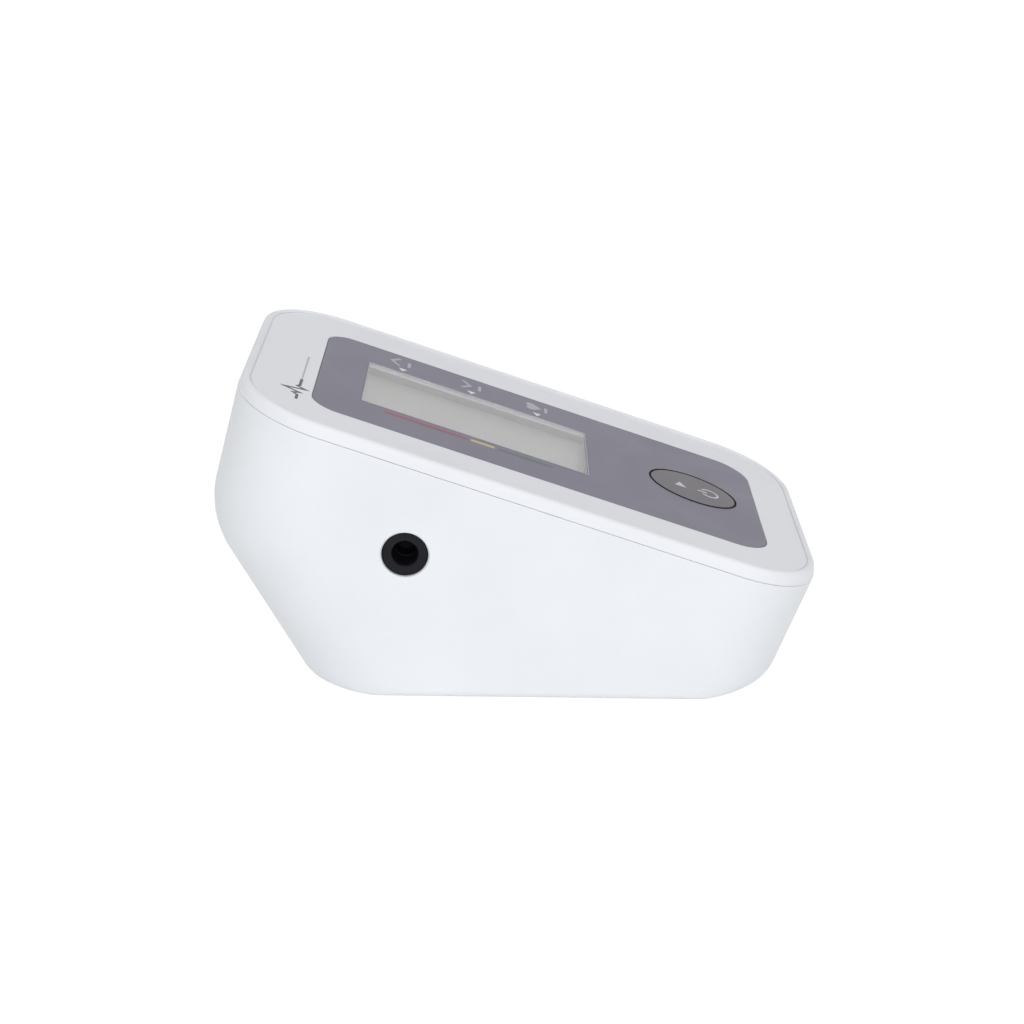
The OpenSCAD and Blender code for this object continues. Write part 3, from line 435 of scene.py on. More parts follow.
room = solid("room", housing_rings(WALL, 3, 24))
combined(room, "DIFFERENCE", [well_box, bay_box, *towers, *ledges, saddles, jack_shelf])
base = solid("housing_base", housing_rings(0, 0, 40))
combined(base, "DIFFERENCE", [room])
print("base shell hollowed:", len(base.data.vertices), "points")

# %% [markdown]
# The parting line is a fine shadow gap. The cover's outer edge hangs a little lower than the rest of its
# rim, so the base needs a step along the outside of its wall. The step ends in a tiny radius and a very
# slight chamfer, as a moulded edge does, and behind the gap stands a bead that centres the cover.

# %% Bead and parting edge
SEAM_Z = -SEAM_DEPTH - SEAM_GAP
COVER_EDGE, BASE_EDGE = SEAM_Z - 0.03, SEAM_Z - 0.15
STEP_IN, STEP_R, CHAMFER_END, CLEAR = -0.5, 0.08, BASE_EDGE - 0.85, 0.6
BEAD_IN, BEAD_OUT, BEAD_LOW = -WALL - 0.2, -1.15, -SEAM_DEPTH - 2.2
bead = [[BEAD_IN, BEAD_LOW], [BEAD_OUT, BEAD_LOW], [BEAD_OUT, -SEAM_DEPTH - 0.1], [-1.25, -SEAM_DEPTH],
        [BEAD_IN, -SEAM_DEPTH]]
edge_cutter = np.concatenate([
    [[CLEAR, SEAM_Z + 0.5], [STEP_IN, SEAM_Z + 0.5], [STEP_IN, BASE_EDGE]],
    arc((-0.16, BASE_EDGE - STEP_R), STEP_R, 90, 5, 4),
    [[0.02, CHAMFER_END], [CLEAR, CHAMFER_END]],
])
combined(base, "DIFFERENCE", [face_rings(PLAN, edge_cutter, COVER_MID)], closed=True)
combined(base, "UNION", [face_rings(PLAN, bead, COVER_MID)], closed=True)
print("parting edge done:", len(base.data.vertices), "points")

# %% [markdown]
# Openings come last. The battery bay opens downwards, the air socket and the power jack sit in round
# holes whose edges are broken by a small countersink, and two deep wells under the front take the case
# screws.

# %% Openings in the base
MOUTH = np.array([[0, -0.36], [0.02, -0.31], [0.27, -0.05], [0.32, 0]])  # wider by, height from the skin


def flared_hole(x_in, x_out, y, z, radius, skin):
    """A bore along X that opens at the skin by a cone with softened ends, as MOUTH says."""
    heights = [[0, abs(x_in)], *(MOUTH + [0, abs(skin)]).tolist(), [MOUTH[-1, 0], abs(x_out)]]
    rings = carried(oval(2 * radius, 2 * radius), heights)
    rings[..., 2] *= np.sign(x_out)
    return along_x(rings, y, z)


hollow = solid("hollow", block([-BAY_W / 2, BAY_FRONT, -CUT], [BAY_W / 2, BAY_REAR, BAY_TOP]))
RIB_LOW, RIB_XS = CELL_Z + 2, (-14, 12)
left_rib, right_rib = [
    block([x, BAY_FRONT - 1, RIB_LOW], [x + 2, BAY_REAR + 1, BAY_TOP + 1]) for x in RIB_XS
]
ribs = solid("ribs", left_rib)
combined(ribs, "UNION", [right_rib])
combined(ribs, "DIFFERENCE", [bar_x(-20, 20, y, CELL_Z, CELL_D / 2 + 0.1) for y in CELL_YS])
combined(hollow, "DIFFERENCE", [ribs])

door_well = block([-DOOR_W / 2 - FIT, DOOR_FRONT - FIT, -CUT],
                  [DOOR_W / 2 + FIT, DOOR_REAR + FIT, DOOR_WELL_TOP])
tab_slots = [
    block([s * TAB_X - TAB_W / 2 - 0.4, BAY_REAR - 1, DOOR_TOP],
          [s * TAB_X + TAB_W / 2 + 0.4, DOOR_REAR + TAB_OUT + 0.4, DOOR_LIFT + 4.2])
    for s in SIDES
]
latch_slot = block([-LATCH_W / 2 - 0.3, DOOR_FRONT - 0.9, DOOR_TOP + 0.1],
                   [LATCH_W / 2 + 0.3, BAY_FRONT + 1, DOOR_TOP + 1.6])
SCOOP_R, SCOOP_DOWN = 8.6, 7
scoop_section = arc((0, 0), SCOOP_R, -89, 89, 59)
scoop = carried(spokes(), scoop_section, (0, DOOR_FRONT - 1.2)) - [0, 0, SCOOP_DOWN]
SCREW_STEPS = ((-16.5, 3.0), (0, 1.5))  # top and radius: the head's well, then the shank's hole
wells = [on_face(post(s * SCREW_X, SCREW_Y, TOWER_FOOT, z, r)) for s in SIDES for z, r in SCREW_STEPS]
socket_skin, jack_skin = side_at(SOCKET_Y, SOCKET_Z), side_at(JACK_Y, JACK_Z)
socket_hole = flared_hole(-(socket_skin - WALL - 0.6), -HALF_W - 1, SOCKET_Y, SOCKET_Z,
                          SOCKET_D / 2 + 0.03, socket_skin)
jack_hole = flared_hole(jack_skin - WALL - 0.6, HALF_W + 1, JACK_Y, JACK_Z, JACK_R, jack_skin)
openings = [hollow, door_well, *tab_slots, latch_slot, scoop, *wells, socket_hole, jack_hole]
combined(base, "DIFFERENCE", openings)
placed(smoothed(base), HOUSING, "housing_white", "base_housing")

# %% [markdown]
# ## The top cover
#
# One section carries most of what is seen of the cover: a wall that leans in a little, a round shoulder,
# the low ridge of the rim, a hollow slope down to the face, and a hairline groove where the real face
# sheet ends. The hollow slope is a power curve, so it meets the flat face without a crease. Along the
# front the whole rim stands further in, which shows in the photograph as a steeper edge, so the rings are
# pushed back there by the share in which the outline looks forward.

# %% Cover
RIDGE_H, RIDGE_IN, RIDGE_R, SHOULDER_R, SLOPE_END, SLOPE_POWER = 0.55, 1.3, 0.22, 1.15, 4.0, 4.4
GROOVE_IN, GROOVE_W, GROOVE_D = LIP_W, 0.2, 0.25
slope_top = arc((-RIDGE_IN, RIDGE_H - RIDGE_R), RIDGE_R, 90, 131, 4)


def slope(x):
    """Height of the hollow slope: h ((x + e) / (t + e))^p, with e where it ends and t, h its top."""
    share = (np.asarray(x) + SLOPE_END) / (slope_top[-1, 0] + SLOPE_END)
    return slope_top[-1, 1] * share**SLOPE_POWER


def slope_points(start, end, steps=5):
    """Section points down the hollow slope."""
    x = np.linspace(start, end, steps)
    return np.stack([x, slope(x)], -1)


groove = np.array([-GROOVE_IN, -GROOVE_IN, -GROOVE_IN - GROOVE_W, -GROOVE_IN - GROOVE_W])
groove = np.stack([groove, slope(groove) - np.array([0, GROOVE_D, GROOVE_D, 0])], -1)
FACE_IN, SKIRT_IN, SKIRT_OUT, SKIRT_LOW, HANG_IN = -6, -WALL - 1.5, -WALL - 0.5, -5, -0.4
cover_section = np.concatenate([
    [[FACE_IN, -COVER_T], [SKIRT_IN, -COVER_T], [SKIRT_IN, SKIRT_LOW], [SKIRT_OUT, SKIRT_LOW],
     [SKIRT_OUT, -SEAM_DEPTH], [HANG_IN, -SEAM_DEPTH], [HANG_IN, COVER_EDGE]],
    arc((-0.1, COVER_EDGE + 0.1), 0.1, 270, 360, 4),
    arc((-RIDGE_IN, RIDGE_H - SHOULDER_R), SHOULDER_R, 8, 90, 14),
    slope_top[1:],
    slope_points(slope_top[-1, 0] - 0.1, -GROOVE_IN + 0.06, 3),
    groove,
    slope_points(-GROOVE_IN - GROOVE_W - 0.1, -SLOPE_END, 8),
    [[FACE_IN, 0]],
])
RIM_BACK, RIM_RISE = 0.42, 1.8  # how far the front goes back, reached this high above the edge
cover_rings = carried(PLAN, cover_section, COVER_MID)
above_seam = np.clip((cover_rings[..., 2] - COVER_EDGE) / RIM_RISE, 0, 1)
looks_forward = np.clip(-PLAN[1][:, 1], 0, 1)
cover_rings[..., 1] += RIM_BACK * above_seam * looks_forward**2
cover = solid("housing_cover", on_face(cover_rings))
print("rim's ridge", RIDGE_H, "mm above the face")

# %% What the cover carries, and its openings


def flared(outline, depth, flare, centre):
    """A pocket cutter with straight walls, whose mouth at the face opens by a quarter circle."""
    mouth = arc((flare, -flare), flare, 180, 90, 4)
    return face_rings(outline, [[0, -depth], *mouth.tolist(), [flare, 1]], centre)


PANEL_RADII, PANEL_GAP = (5.6, 5.6, 7.4, 7.4), 0.1
panel_outline = rounded_rect(PANEL_W, PANEL_L, PANEL_RADII, 20)
pocket_outline = rounded_rect(PANEL_W + 2 * PANEL_GAP, PANEL_L + 2 * PANEL_GAP,
                              np.array(PANEL_RADII) + PANEL_GAP, 20)
window_hole = rounded_rect(WINDOW_W + 0.4, WINDOW_L + 0.4, 0.6, 6)
button_hole = oval(BUTTON_W + 2 * BUTTON_GAP, BUTTON_L + 2 * BUTTON_GAP)
BOSS_TOP, BOSS_LOW, BOSS_R, PEG_LOW, PEG_R = -1.5, -13.9, 3.6, -9, 2.1
PEGS_AT = ((19, -49), (19.5, -24.5))
bosses = [on_face(post(s * SCREW_X, SCREW_Y, BOSS_LOW, BOSS_TOP, BOSS_R)) for s in SIDES]
bosses += [on_face(post(s * x, y, PEG_LOW, BOSS_TOP, PEG_R)) for s in SIDES for x, y in PEGS_AT]
HOOK_LOW, HOOK_PARTS = -8.5, ((-5.1, -3.6, BOSS_TOP), (-4.6, -2.8, -7))  # from, to (along Y) and top
hooks = [
    on_face(block([s * HOOK_X - HOOK_W / 2, COVER_REAR + near, HOOK_LOW],
                  [s * HOOK_X + HOOK_W / 2, COVER_REAR + far, top]))
    for near, far, top in HOOK_PARTS for s in SIDES
]
combined(cover, "UNION", [*bosses, *hooks])
combined(cover, "DIFFERENCE", [
    flared(pocket_outline, PANEL_T, 0.12, PANEL_AT),
    face_rings(window_hole, [[0, -4], [0, 1]], WINDOW_AT),
    face_rings(button_hole, [[0, -4], [0, 1]], BUTTON_AT),
])
placed(smoothed(cover), HOUSING, "housing_white", "top_cover")

# %% [markdown]
# ## The grey panel, the window and the button
#
# The panel is a thin inlay whose edges are just broken. The window is a clear block that fills the
# opening flush, with a flange under the panel, and a fine pale ring round its edge that is a painted
# highlight of the window's bevelled edge. Below it lies a foam gasket whose sleeve lines the hole down to
# the display; its grey is partly the foam's own colour and partly painted shade of the opening. The button
# is a real cap: an oval with a rounded rim, a flange that keeps it in, and a stem down to the switch. A
# near-black ring in the gap round it is painted shade of that gap, and stands up by a hair, so that the
# ring shows from every side.

# %% Panel
RIM_R = 0.14
rim = [[-0.12, -0.95], [0, -0.85], *arc((-RIM_R, -RIM_R), RIM_R, 0, 90, 4).tolist()]
panel = solid("grey_panel", face_rings(panel_outline, rim, PANEL_AT))
window_outline = rounded_rect(WINDOW_W, WINDOW_L, 0.35, 6)
flange_pocket = rounded_rect(WINDOW_W + 3, WINDOW_L + 3, 0.6, 6)
combined(panel, "DIFFERENCE", [
    flared(window_outline, 2, 0.06, WINDOW_AT),
    flared(button_hole, 2, 0.08, BUTTON_AT),
    face_rings(flange_pocket, [[0, -2], [0, -0.5]], WINDOW_AT),
])
placed(smoothed(panel), HOUSING, "panel_grey", "face_panel")

# %% Window
WINDOW_EDGE_R = 0.06
step_section = [[1.35, -0.95], [1.4, -0.9], [1.4, -0.6], [1.35, -0.55], [-0.03, -0.55],
                *arc((-0.09, -WINDOW_EDGE_R), WINDOW_EDGE_R, 0, 90, 3).tolist()]
window = finished("display_window_clear", face_rings(window_outline, step_section, WINDOW_AT),
                  HOUSING, "clear_window", "display_window")

# %% Foam gasket, partly painted shade, and the painted highlight round the window
FOAM_IN, SLEEVE_OUT, FOAM_OUT = 0.08, 0.19, 2.3  # outwards from the window's edge
FOAM_LOW, FOAM_TOP, SLEEVE_TOP = -GLASS_DEPTH + 0.01, -COVER_T - 0.01, -1.85
foam_section = [[FOAM_IN, FOAM_LOW], [FOAM_OUT, FOAM_LOW], [FOAM_OUT, FOAM_TOP],
                [SLEEVE_OUT, FOAM_TOP], [SLEEVE_OUT, SLEEVE_TOP], [FOAM_IN, SLEEVE_TOP]]
# The foam's grey is partly its own colour and partly painted shade of the lower wall of the window's
# opening.
foam = finished("display_foam", face_rings(window_outline, foam_section, WINDOW_AT),
                HOUSING, "grey_foam", "display_gasket", closed=True)
# A pale ink ring round the window's edge: a painted highlight of the window's bevelled edge.
edge_highlight_section = oblong(-0.3, -0.05, -0.004, 0.02)
edge_highlight_ring = finished("window_edge_highlight", face_rings(window_outline, edge_highlight_section, WINDOW_AT),
                  HOUSING, "panel_grey", closed=True)

# %% Start button
CAP_R, CAP_LOW, FLANGE_LAP, STEM_R = 0.25, -3, 1.2, 3
button_oval = oval(BUTTON_W, BUTTON_L, 128)
flange_oval = oval(BUTTON_W + 2 * FLANGE_LAP, BUTTON_L + 2 * FLANGE_LAP)
cap_section = [[0, CAP_LOW], *arc((-CAP_R, BUTTON_H - CAP_R), CAP_R, 0, 90, 8).tolist()]
button = solid("start_button_cap", face_rings(button_oval, cap_section, BUTTON_AT))
flange = face_rings(flange_oval, [[0, -3.3], [0, -2.6]], BUTTON_AT)
stem = on_face(post(*BUTTON_AT, -4.7, -2.8, STEM_R))
combined(button, "UNION", [flange, stem])
placed(smoothed(button), "button", "button_grey", "start_button")

# %% Painted shade in the gap round the button
# A near-black ring in the gap round the button is painted shade of that gap; it stands up by a hair so that
# it shows from every side.
GAP_SHADE_IN, GAP_SHADE_OUT, GAP_SHADE_LIP, GAP_SHADE_LOW, GAP_SHADE_TOP = 0.04, 0.29, 0.36, -0.9, 0.13
gap_shade_section = [[GAP_SHADE_IN, GAP_SHADE_LOW], [GAP_SHADE_OUT, GAP_SHADE_LOW], [GAP_SHADE_OUT, -0.05], [GAP_SHADE_LIP, 0.01],
                [GAP_SHADE_LIP, 0.08], [0.3, GAP_SHADE_TOP], [0.1, GAP_SHADE_TOP], [GAP_SHADE_IN, 0.08]]
gap_shade_ring = finished("button_gap_shade", face_rings(button_oval, gap_shade_section, BUTTON_AT),
                HOUSING, "black_rubber", closed=True)

# %% [markdown]
# ## Printed marks
#
# The marks on the panel are a thin layer of ink, so they are modelled as that: flat pieces a few
# hundredths of a millimetre high. A curved stroke is a small rectangle carried along its centre line, and
# where the line turns its corners are mitred. Plain signs tell the three readings apart: an upper value,
# a lower value and the heart beat.

# %% Ink shapes
INK, INK_ROOT = 0.03, 0.005  # how high ink stands, and how deep it starts


def stroke(path, width, height):
    """A ribbon: path +- w/2 m, where m = (a + b) / (1 + a . b) mitres the normals a, b of two steps."""
    path = np.asarray(path, float)
    step = np.diff(path, axis=0)
    normal = np.stack([-step[:, 1], step[:, 0]], -1) / np.linalg.norm(step, axis=1, keepdims=True)
    before, after = np.concatenate([normal[:1], normal]), np.concatenate([normal, normal[-1:]])
    side = (before + after) / (1 + (before * after).sum(1, keepdims=True))
    edges = np.stack([path + side * width / 2, path - side * width / 2], 1)[:, [0, 1, 1, 0]]
    levels = np.array([0, 0, INK, INK])[None, :, None] + height - INK_ROOT
    levels = np.broadcast_to(levels, edges.shape[:2] + (1,))
    return on_face(np.concatenate([edges, levels], -1))


def patch(points, height):
    """A flat shape: its outline at the surface and at the ink's top."""
    points = np.asarray(points, float)
    flat = np.broadcast_to(points, (2,) + points.shape)
    levels = np.array([-INK_ROOT, INK])[:, None, None] + height
    return on_face(np.concatenate([flat, np.broadcast_to(levels, flat.shape[:2] + (1,))], -1))


def printed(name, body, slot, shapes):
    """One object from several ink shapes that don't touch."""
    first = solid(name, shapes[0])
    combined(first, "UNION", shapes[1:])
    first.data.shade_flat()
    print(f"{name}: {len(shapes)} shapes")
    return placed(first, body, slot)


print("ink", INK, "mm high")

# %% Pointers and signs beside the window
POINTER_X, POINTER_YS = 15.0, (25.9, 10.4, -4.5)
pointer = np.array([[-0.85, 0], [0.85, -0.95], [0.85, 0.95]])
pointers = [patch(pointer + [POINTER_X, y], 0) for y in POINTER_YS]
SIGN_X, SIGN_YS, SIGN_UP, SIGN_LINE, DASH_DOWN = 19.6, (26.5, 10.5, -4.7), 1.1, 0.7, 1.9
upper_at, lower_at, heart_at = [[SIGN_X, y + SIGN_UP] for y in SIGN_YS]
chevron = np.array([[-2.4, -0.9], [0, 0.9], [2.4, -0.9]])
dash = np.array([[-1.6, 0], [1.6, 0]])
turn = np.linspace(0, 2 * np.pi, 48, endpoint=False)
heart = np.stack([16 * np.sin(turn) ** 3,
                  13 * np.cos(turn) - 5 * np.cos(2 * turn) - 2 * np.cos(3 * turn) - np.cos(4 * turn)], -1)
signs = [
    stroke(chevron + upper_at, SIGN_LINE, 0),
    stroke(-chevron + lower_at, SIGN_LINE, 0),
    patch(heart * 0.13 + heart_at, 0),
    *[stroke(dash + [SIGN_X, y - DASH_DOWN], SIGN_LINE, 0) for y in SIGN_YS],
]
ink_pointers = printed("ink_pointers", HOUSING, "panel_grey", pointers)
ink_signs = printed("ink_signs", HOUSING, "panel_grey", signs)

# %% Rating bar
BAR_X, BAR_T = -15.5, 1.1
BAR_SPANS = {"ink_red": (10.5, 28.1), "ink_yellow": (4.9, 9.9), "ink_green": (-7.5, 4.1)}
bar_sides = BAR_X - BAR_T / 2, BAR_X + BAR_T / 2
rating = {
    name: printed(name, HOUSING, "panel_grey", [patch(oblong(*bar_sides, *span), 0)])
    for name, span in BAR_SPANS.items()
}

# %% Pulse line at the rear of the cover
PULSE_Y, PULSE_LINE, BASE_LINE = 45.6, 0.6, 0.35
pulse = np.array([[-25, 0], [-22.4, 0], [-21.6, 1.0], [-20.7, -0.4], [-19.5, 3.0], [-18.1, -1.4],
                  [-17.2, 0.5], [-16.4, 0], [-12.4, 0]]) + [0, PULSE_Y]
rest_line = [[-12.0, PULSE_Y], [3.0, PULSE_Y]]
ink_pulse = printed("ink_pulse", HOUSING, "panel_grey", [stroke(pulse, PULSE_LINE, 0)])
ink_base_line = printed("ink_base_line", HOUSING, "panel_grey", [stroke(rest_line, BASE_LINE, 0)])

# %% Power and start signs on the button
POWER_AT, POWER_R, POWER_LINE, POWER_OPEN = np.array([-0.1, -42.75]), 1.9, 0.5, 38
sweep = np.linspace(90 + POWER_OPEN, 450 - POWER_OPEN, 40)
power_ring = stroke(POWER_AT + POWER_R * direction(sweep), POWER_LINE, BUTTON_H)
power_bar = stroke(POWER_AT + np.array([[0, 0.5], [0, 2.6]]), POWER_LINE, BUTTON_H)
start_sign = patch(np.array([[-1.1, -1.3], [1.4, 0], [-1.1, 1.3]]) + [0, -36.2], BUTTON_H)
ink_power = printed("ink_power", "button", "button_grey", [power_ring, power_bar, start_sign])

# %% [markdown]
# ## The air socket and the power jack
#
# Both are turned shapes: a section in (radius, length) carried round an axis along X. The socket is a
# black bushing with a funnel and a stepped bore for the hose plug. Behind the wall it has a flange, a
# place for its lock nut, and a barb for the inner tube.

# %% Air socket
SOCKET_FACE = -socket_skin + 0.7
SOCKET_WALL = -socket_skin + WALL
SOCKET_END = -26.0


def turned_x(section, y, z, steps=96):
    """Rings r (cos a, sin a) at each (radius, x) of a closed section, about an axis along X."""
    return along_x(carried(spokes(steps), section), y, z)


SOCKET_R, SOCKET_RIM_R, BORE, FUNNEL_R = SOCKET_D / 2, 0.3, SOCKET_BORE / 2, 0.8
FLANGE_R, FLANGE_NEAR, FLANGE_FAR = SOCKET_R + 1.6, SOCKET_WALL + 2.8, SOCKET_WALL + 4.4
BARB_R, BARB_BORE, BORE_END = 1.3, 0.7, SOCKET_END - 1.6
socket_section = np.concatenate([
    arc((SOCKET_R - SOCKET_RIM_R, SOCKET_FACE + SOCKET_RIM_R), SOCKET_RIM_R, 270, 360, 5),
    [[SOCKET_R, FLANGE_NEAR], [FLANGE_R, FLANGE_NEAR], [FLANGE_R, FLANGE_FAR], [SOCKET_R, FLANGE_FAR],
     [SOCKET_R, SOCKET_END], [BARB_R, SOCKET_END], [BARB_R, SOCKET_END + 5], [BARB_BORE, SOCKET_END + 5],
     [BARB_BORE, BORE_END], [BORE - 0.45, BORE_END], [BORE - 0.45, SOCKET_FACE + 8],
     [BORE - 0.2, SOCKET_FACE + 5.1], [BORE - 0.05, SOCKET_FACE + 5], [BORE, SOCKET_FACE + 1.0]],
    arc((BORE + FUNNEL_R, SOCKET_FACE + FUNNEL_R), FUNNEL_R, 180, 225, 5),
    [[BORE + 0.75, SOCKET_FACE + 0.06], [BORE + 0.95, SOCKET_FACE]],
])
air_socket = finished("air_socket_bushing", turned_x(socket_section, SOCKET_Y, SOCKET_Z),
                      HOUSING, "socket_black", "air_socket", closed=True)

# %% Power jack
JACK_BACK, JACK_FRONT = jack_skin - WALL - 11, jack_skin - WALL - 0.1
JACK_BORE, PIN_R = 2.8, 1.05
AXIS = 0.01  # a section that runs to the axis stops this close to it
jack_section = [
    [JACK_BODY_R, JACK_BACK], [JACK_BODY_R, JACK_FRONT + 1.0], [4.4, JACK_FRONT + 1.2],
    [3.2, JACK_FRONT + 1.2], [JACK_BORE, JACK_FRONT + 0.8], [JACK_BORE, JACK_BACK + 2],
    [AXIS, JACK_BACK + 2], [AXIS, JACK_BACK],
]
jack = finished("jack_body", turned_x(jack_section, JACK_Y, JACK_Z),
                HOUSING, "socket_black", "dc_jack", closed=True)
pin_section = [[PIN_R, JACK_BACK + 1], [PIN_R, JACK_FRONT - 0.9], [0.7, JACK_FRONT - 0.4],
               [AXIS, JACK_FRONT - 0.4], [AXIS, JACK_BACK + 1]]
jack_pin = finished("jack_pin", turned_x(pin_section, JACK_Y, JACK_Z, 32),
                    HOUSING, "contact_metal", closed=True)

# %% [markdown]
# ## The battery cover
#
# A flat plate that sits flush in the underside, with two slots that free a latch tongue, finger ridges on
# the tongue, and hook tabs at the rear about which it swings open.

# %% Battery cover
DOOR_MID = (0, (DOOR_FRONT + DOOR_REAR) / 2)
DOOR_EDGE_R, TAB_TOP, LATCH_TOP, SLIT = 0.3, DOOR_LIFT + 3.2, DOOR_TOP + 1.2, 0.35
plate = rounded_rect(DOOR_W, DOOR_REAR - DOOR_FRONT, 0.6, 6)
corner = arc((-DOOR_EDGE_R, DOOR_LIFT + DOOR_EDGE_R), DOOR_EDGE_R, 270, 360, 4)
door = solid("battery_door", carried(plate, [*corner.tolist(), [0, DOOR_TOP]], DOOR_MID))
TAB_PARTS = ((BAY_REAR - 0.8, DOOR_REAR, DOOR_TOP - 1), (DOOR_REAR - 1, DOOR_REAR + TAB_OUT, DOOR_LIFT + 2))
tabs = [
    block([s * TAB_X - TAB_W / 2, front, low], [s * TAB_X + TAB_W / 2, rear, TAB_TOP])
    for front, rear, low in TAB_PARTS for s in SIDES
]
LATCH_PARTS = ((DOOR_FRONT, DOOR_TOP - 1), (DOOR_FRONT - 0.6, DOOR_TOP + 0.3))
latch = [block([-LATCH_W / 2, front, low], [LATCH_W / 2, DOOR_FRONT + 1.2, LATCH_TOP])
         for front, low in LATCH_PARTS]
rests = [block([-20, y - 0.6, DOOR_TOP - 1], [20, y + 0.6, DOOR_TOP + 0.5])
         for y in CELL_YS[:-1] + PITCH_Y / 2]
slots = [
    block([s * TONGUE_W / 2 - SLIT, DOOR_FRONT - 1, -CUT], [s * TONGUE_W / 2 + SLIT, DOOR_FRONT + 7, 3.2])
    for s in SIDES
]
grooves = [block([-4.5, DOOR_FRONT + y, -CUT], [4.5, DOOR_FRONT + y + 0.5, DOOR_LIFT + 0.4])
           for y in np.arange(1.6, 6.5, 1.2)]
combined(door, "UNION", [*tabs, *latch, *rests])
combined(door, "DIFFERENCE", [*slots, *grooves])
placed(smoothed(door), "battery_door", "housing_white", "battery_cover")

# %% [markdown]
# ## Shader helpers
#
# Every finish below is worked out by nodes from the Object coordinates, which are metres here. Two
# effects are shared by many materials, so each is a node group made once: the fine texture that a mould
# leaves, and the soft wear along edges.

# %% Node helpers


def add(tree, kind, inputs=None, **settings):
    """Adds one shader node. inputs holds values or sockets, settings holds its properties."""
    made = tree.nodes.new("ShaderNode" + kind)
    for key, value in settings.items():
        setattr(made, key, value)
    for key, value in (inputs or {}).items():
        if isinstance(value, bpy.types.NodeSocket):
            tree.links.new(value, made.inputs[key])
        else:
            made.inputs[key].default_value = value
    return made


def new_group(name, inputs, outputs):
    """A shader node group with float inputs {name: default} and outputs {name: socket type}."""
    group = bpy.data.node_groups.new(name, "ShaderNodeTree")
    for title, value in inputs.items():
        socket = group.interface.new_socket(title, in_out="INPUT", socket_type="NodeSocketFloat")
        socket.default_value = value
    for title, kind in outputs.items():
        group.interface.new_socket(title, in_out="OUTPUT", socket_type=kind)
    return group, group.nodes.new("NodeGroupInput").outputs, group.nodes.new("NodeGroupOutput").inputs


def linear(red, green, blue):
    """sRGB 0..255 to the linear colour that shaders work in."""
    c = np.array([red, green, blue]) / 255
    return (*np.where(c <= 0.04045, c / 12.92, ((c + 0.055) / 1.055) ** 2.4).tolist(), 1.0)


print("mid grey in linear light:", round(linear(128, 128, 128)[0], 3))

# %% Material helpers


def new_material(name):
    """A new material: itself, its node tree and the inputs of its Principled BSDF."""
    material = bpy.data.materials.new(name)
    material.use_nodes = True
    tree = material.node_tree
    return material, tree, tree.nodes["Principled BSDF"].inputs


def effect(tree, group):
    """A node that runs one of the shared groups."""
    made = tree.nodes.new("ShaderNodeGroup")
    made.node_tree = group
    return made


def blend(tree, factor, first, second):
    """The colour that goes from the first to the second as the factor goes from 0 to 1."""
    return add(tree, "Mix", {"Factor": factor, 6: first, 7: second}, data_type="RGBA").outputs[2]


def varied(tree, factor, low, high):
    """A value that goes from low to high as the factor goes from 0.3 to 0.7."""
    return add(tree, "MapRange", {0: factor, 1: 0.3, 2: 0.7, 3: low, 4: high}).outputs[0]


def bumped(tree, sockets, strength, depth, height):
    """Bends the shader's normal by a height of so many millimetres."""
    bump = add(tree, "Bump", {"Strength": strength, "Distance": depth * MM, "Height": height})
    tree.links.new(bump.outputs[0], sockets["Normal"])


def seen_directly(tree):
    """1 where the camera looks, straight, by a mirror or through clear plastic, and 0 for other light."""
    rays = add(tree, "LightPath").outputs
    seen = rays["Is Camera Ray"]
    for kind in ("Is Glossy Ray", "Is Transmission Ray"):
        seen = add(tree, "Math", {0: seen, 1: rays[kind]}, operation="MAXIMUM").outputs[0]
    return seen


print("material helpers ready")

# %% The mould's texture
grain_group, grain_in, grain_out = new_group(
    "mould_grain", {"Cells per metre": 2200.0, "Cloud per metre": 45.0},
    {"Height": "NodeSocketFloat", "Cloud": "NodeSocketFloat", "Smudge": "NodeSocketFloat"})
place = add(grain_group, "TexCoord").outputs["Object"]
pits = add(grain_group, "TexVoronoi", {"Vector": place, "Scale": grain_in[0]}, feature="SMOOTH_F1")
fine = add(grain_group, "TexNoise", {"Vector": place, "Scale": grain_in[0], "Detail": 3.0})
height = add(grain_group, "Math", {0: pits.outputs["Distance"], 1: fine.outputs[0]}, operation="ADD")
cloud = add(grain_group, "TexNoise", {"Vector": place, "Scale": grain_in[1], "Detail": 2.0})
smudge = add(grain_group, "TexNoise",
             {"Vector": place, "Scale": grain_in[1], "Detail": 5.0, "Distortion": 1.5})
for made, socket in zip((height, cloud, smudge), grain_out):
    grain_group.links.new(made.outputs[0], socket)
print("grain group:", len(grain_group.nodes), "nodes")

# %% Edge wear
wear_group, wear_in, wear_out = new_group(
    "edge_wear", {"Patches per metre": 300.0}, {"Mask": "NodeSocketFloat"})
bent = add(wear_group, "Bevel", {"Radius": 0.0003}, samples=4).outputs[0]
true = add(wear_group, "NewGeometry").outputs["Normal"]
same = add(wear_group, "VectorMath", {0: bent, 1: true}, operation="DOT_PRODUCT").outputs["Value"]
edge = add(wear_group, "MapRange", {0: same, 1: 0.995, 2: 0.85, 3: 0.0, 4: 1.0}).outputs[0]
place = add(wear_group, "TexCoord").outputs["Object"]
broken = add(wear_group, "TexNoise", {"Vector": place, "Scale": wear_in[0], "Detail": 3.0}).outputs[0]
patches = add(wear_group, "MapRange", {0: broken, 1: 0.35, 2: 0.7}).outputs[0]
mask = add(wear_group, "Math", {0: edge, 1: patches}, operation="MULTIPLY").outputs[0]
wear_group.links.new(mask, wear_out[0])
print("shared groups:", [g.name for g in bpy.data.node_groups])

# %% [markdown]
# ## Moulded plastics
#
# A moulded part is never one colour. The pigment drifts by a percent or two, the sheen changes where
# hands have been, the spark-eroded mould leaves a fine grain, and edges polish a little lighter.

# %% Moulded plastic


